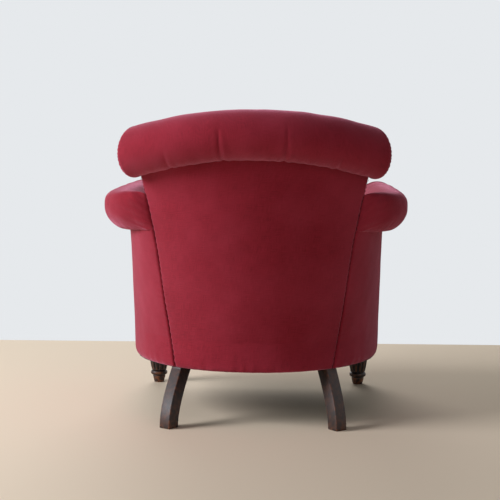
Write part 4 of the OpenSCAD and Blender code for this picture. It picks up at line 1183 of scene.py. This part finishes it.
dress(outside_back_cover(), crimson_linen, ["outside_back"])
both_sides(outside_arm_cover(), crimson_linen, "outside_arm")
both_sides(inside_arm_cover(), crimson_linen, "inside_arm")
both_sides(back_side_border(), crimson_linen, None)
both_sides(arm_rail(), sawn_beech, "arm_rail")
dress(inside_back_cover(), crimson_linen, ["inside_back"])
roll_end, end_centre, end_way = roll_end_cap()
both_sides(roll_end, crimson_linen, "back_facing")
button_cap = dome("back_roll_button_left", end_centre - MM * end_way, end_way, ROLL_BUTTON_R, 3.2 * MM,
                  18, 0.03)
both_sides(button_cap, crimson_linen, None)
dress(swollen_seat(), crimson_linen, ["seat_cover"])

facing, welt = front_pieces()
both_sides(facing, crimson_linen, "arm_facing")
both_sides(welt, crimson_linen, None)
half_low = side_x(BASE_Z) + ARM_FACE - JOINT
half_high = side_x(SEAT_Z) + ARM_FACE - JOINT
border_line = resample(np.array([[-half_low, BASE_Z], [half_low, BASE_Z], [half_high, SEAT_Z - JOINT],
                                 [-half_high, SEAT_Z - JOINT], [-half_low, BASE_Z]]), 200)[:-1]
border = padded_board("front_border_linen", border_line, BOARD_Y, BOARD_Y - FACING_T, 6 * MM)
dress(border, crimson_linen, ["front_border"])
# A welt runs all round the seat, in the groove between it and the arms, the back and the border
half_ring = seat_ring(SEAT_Z + 1.5 * MM, 4 * MM, -STRAIGHT - 2.5 * MM)
seat_line = np.concatenate([half_ring, half_ring[-2::-1] * [-1, 1, 1], half_ring[:1]])
seat_line = resample(seat_line, 421)[:-1]
for _ in range(5):
    seat_line = (np.roll(seat_line, 1, 0) + 2 * seat_line + np.roll(seat_line, -1, 0)) / 4
seat_welt = tube("seat_welt", seat_line, SEAT_WELT_R, closed=True, across=(0, 0, 1))
dress(seat_welt, crimson_linen, [])

places, ways = button_places()
button_form = dome("button_form", (0, 0, 0), (0, 0, 1), BUTTON_R, 5 * MM, 9, 0.03)
button_form.data.materials.append(crimson_linen)
sideways = [(1, 0, 0)] * len(places)
buttons = placed_forms("back_buttons_linen", places, ways, sideways, button_form, crimson_linen, 1.0)
dress(buttons, crimson_linen, ["back_buttons"])
stitch_form = capsule("stitch_form", STITCH_LEN, 1.1 * MM)
stitches = seam_stitches(crimson_thread, stitch_form)
dress(stitches, crimson_thread, [])
for form in (button_form, stitch_form):
    bpy.data.objects.remove(form)

both_sides(back_leg(), stained_beech, "back_leg")
both_sides(front_leg(), stained_beech, "front_leg")

# Floor, backdrop, lamps and camera
pale_floor = surface("pale_floor", Roughness=0.8, Base_Color=linear("#DCCBB2"))[0]
floor_mesh = bpy.data.meshes.new("floor")
floor_mesh.from_pydata([(-6, -1.02, 0), (6, -1.02, 0), (6, 6, 0), (-6, 6, 0)], [], [(0, 1, 2, 3)])
floor = new_object("floor", floor_mesh)
floor.data.materials.append(pale_floor)

world = bpy.data.worlds.new("studio")
bpy.context.scene.world = world
world.use_nodes = True
sky = world.node_tree
shown = sky.nodes["Background"]
shown.inputs["Color"].default_value = linear("#E6E9EC")
shown.inputs["Strength"].default_value = 1.0
fill_light = add(sky, "ShaderNodeBackground", {"Color": linear("#EEF1F6"), "Strength": 0.18})
rays = add(sky, "ShaderNodeLightPath")
seen = add(sky, "ShaderNodeMath", {
    0: rays.outputs["Is Camera Ray"], 1: rays.outputs["Is Glossy Ray"]}, operation="MAXIMUM")
clear = add(sky, "ShaderNodeMath", {0: seen, 1: rays.outputs["Is Transmission Ray"]}, operation="MAXIMUM")
choice = add(sky, "ShaderNodeMixShader", {0: clear, 1: fill_light, 2: shown})
sky.links.new(choice.outputs[0], sky.nodes["World Output"].inputs["Surface"])


def lamp(name, at, aim, size, power, colour):
    light = bpy.data.lights.new(name, "AREA")
    light.shape = "DISK"
    light.size = size
    light.energy = power
    light.color = linear(colour)[:3]
    holder = new_object(name, light)
    holder.location = at
    holder.rotation_euler = (Vector(aim) - Vector(at)).to_track_quat("-Z", "Y").to_euler()


# A window's soft light from the left of the photograph, a weak lamp behind the camera, and one over the
# front
lamp("window", (3.35, 0.95, 2.0), (0, 0.05, 0.4), 1.8, 156, "#F6F7FF")
lamp("camera_fill", (0.6, 4.2, 2.4), (0, 0, 0.4), 2.5, 16, "#F6F8FF")
lamp("front_fill", (0.6, -3.6, 2.6), (0, 0, 0.4), 2.5, 70, "#FFFFFF")

# The camera stands where the photograph was taken from, as fitted to points of the chair
CAMERA_AT = (-0.0804, 3.4204, 0.7496)
YAW, PITCH, ROLL = (math.radians(a) for a in (1.6118, -5.6283, 0.3289))
FOCAL_PX = 1339.4
PICTURE_PX = 500
camera_data = bpy.data.cameras.new("camera")
camera = new_object("camera", camera_data)
bpy.context.scene.camera = camera
camera_data.sensor_width = 36
camera_data.lens = camera_data.sensor_width * FOCAL_PX / PICTURE_PX
ahead = Vector((math.sin(YAW) * math.cos(PITCH), -math.cos(YAW) * math.cos(PITCH), math.sin(PITCH)))
level = ahead.cross(Vector((0, 0, 1))).normalized()
above = level.cross(ahead)
right = math.cos(ROLL) * level + math.sin(ROLL) * above
up = math.cos(ROLL) * above - math.sin(ROLL) * level
camera.matrix_world = Matrix.Translation(CAMERA_AT) @ Matrix((right, up, -ahead)).transposed().to_4x4()

bpy.context.scene.view_settings.view_transform = "Standard"
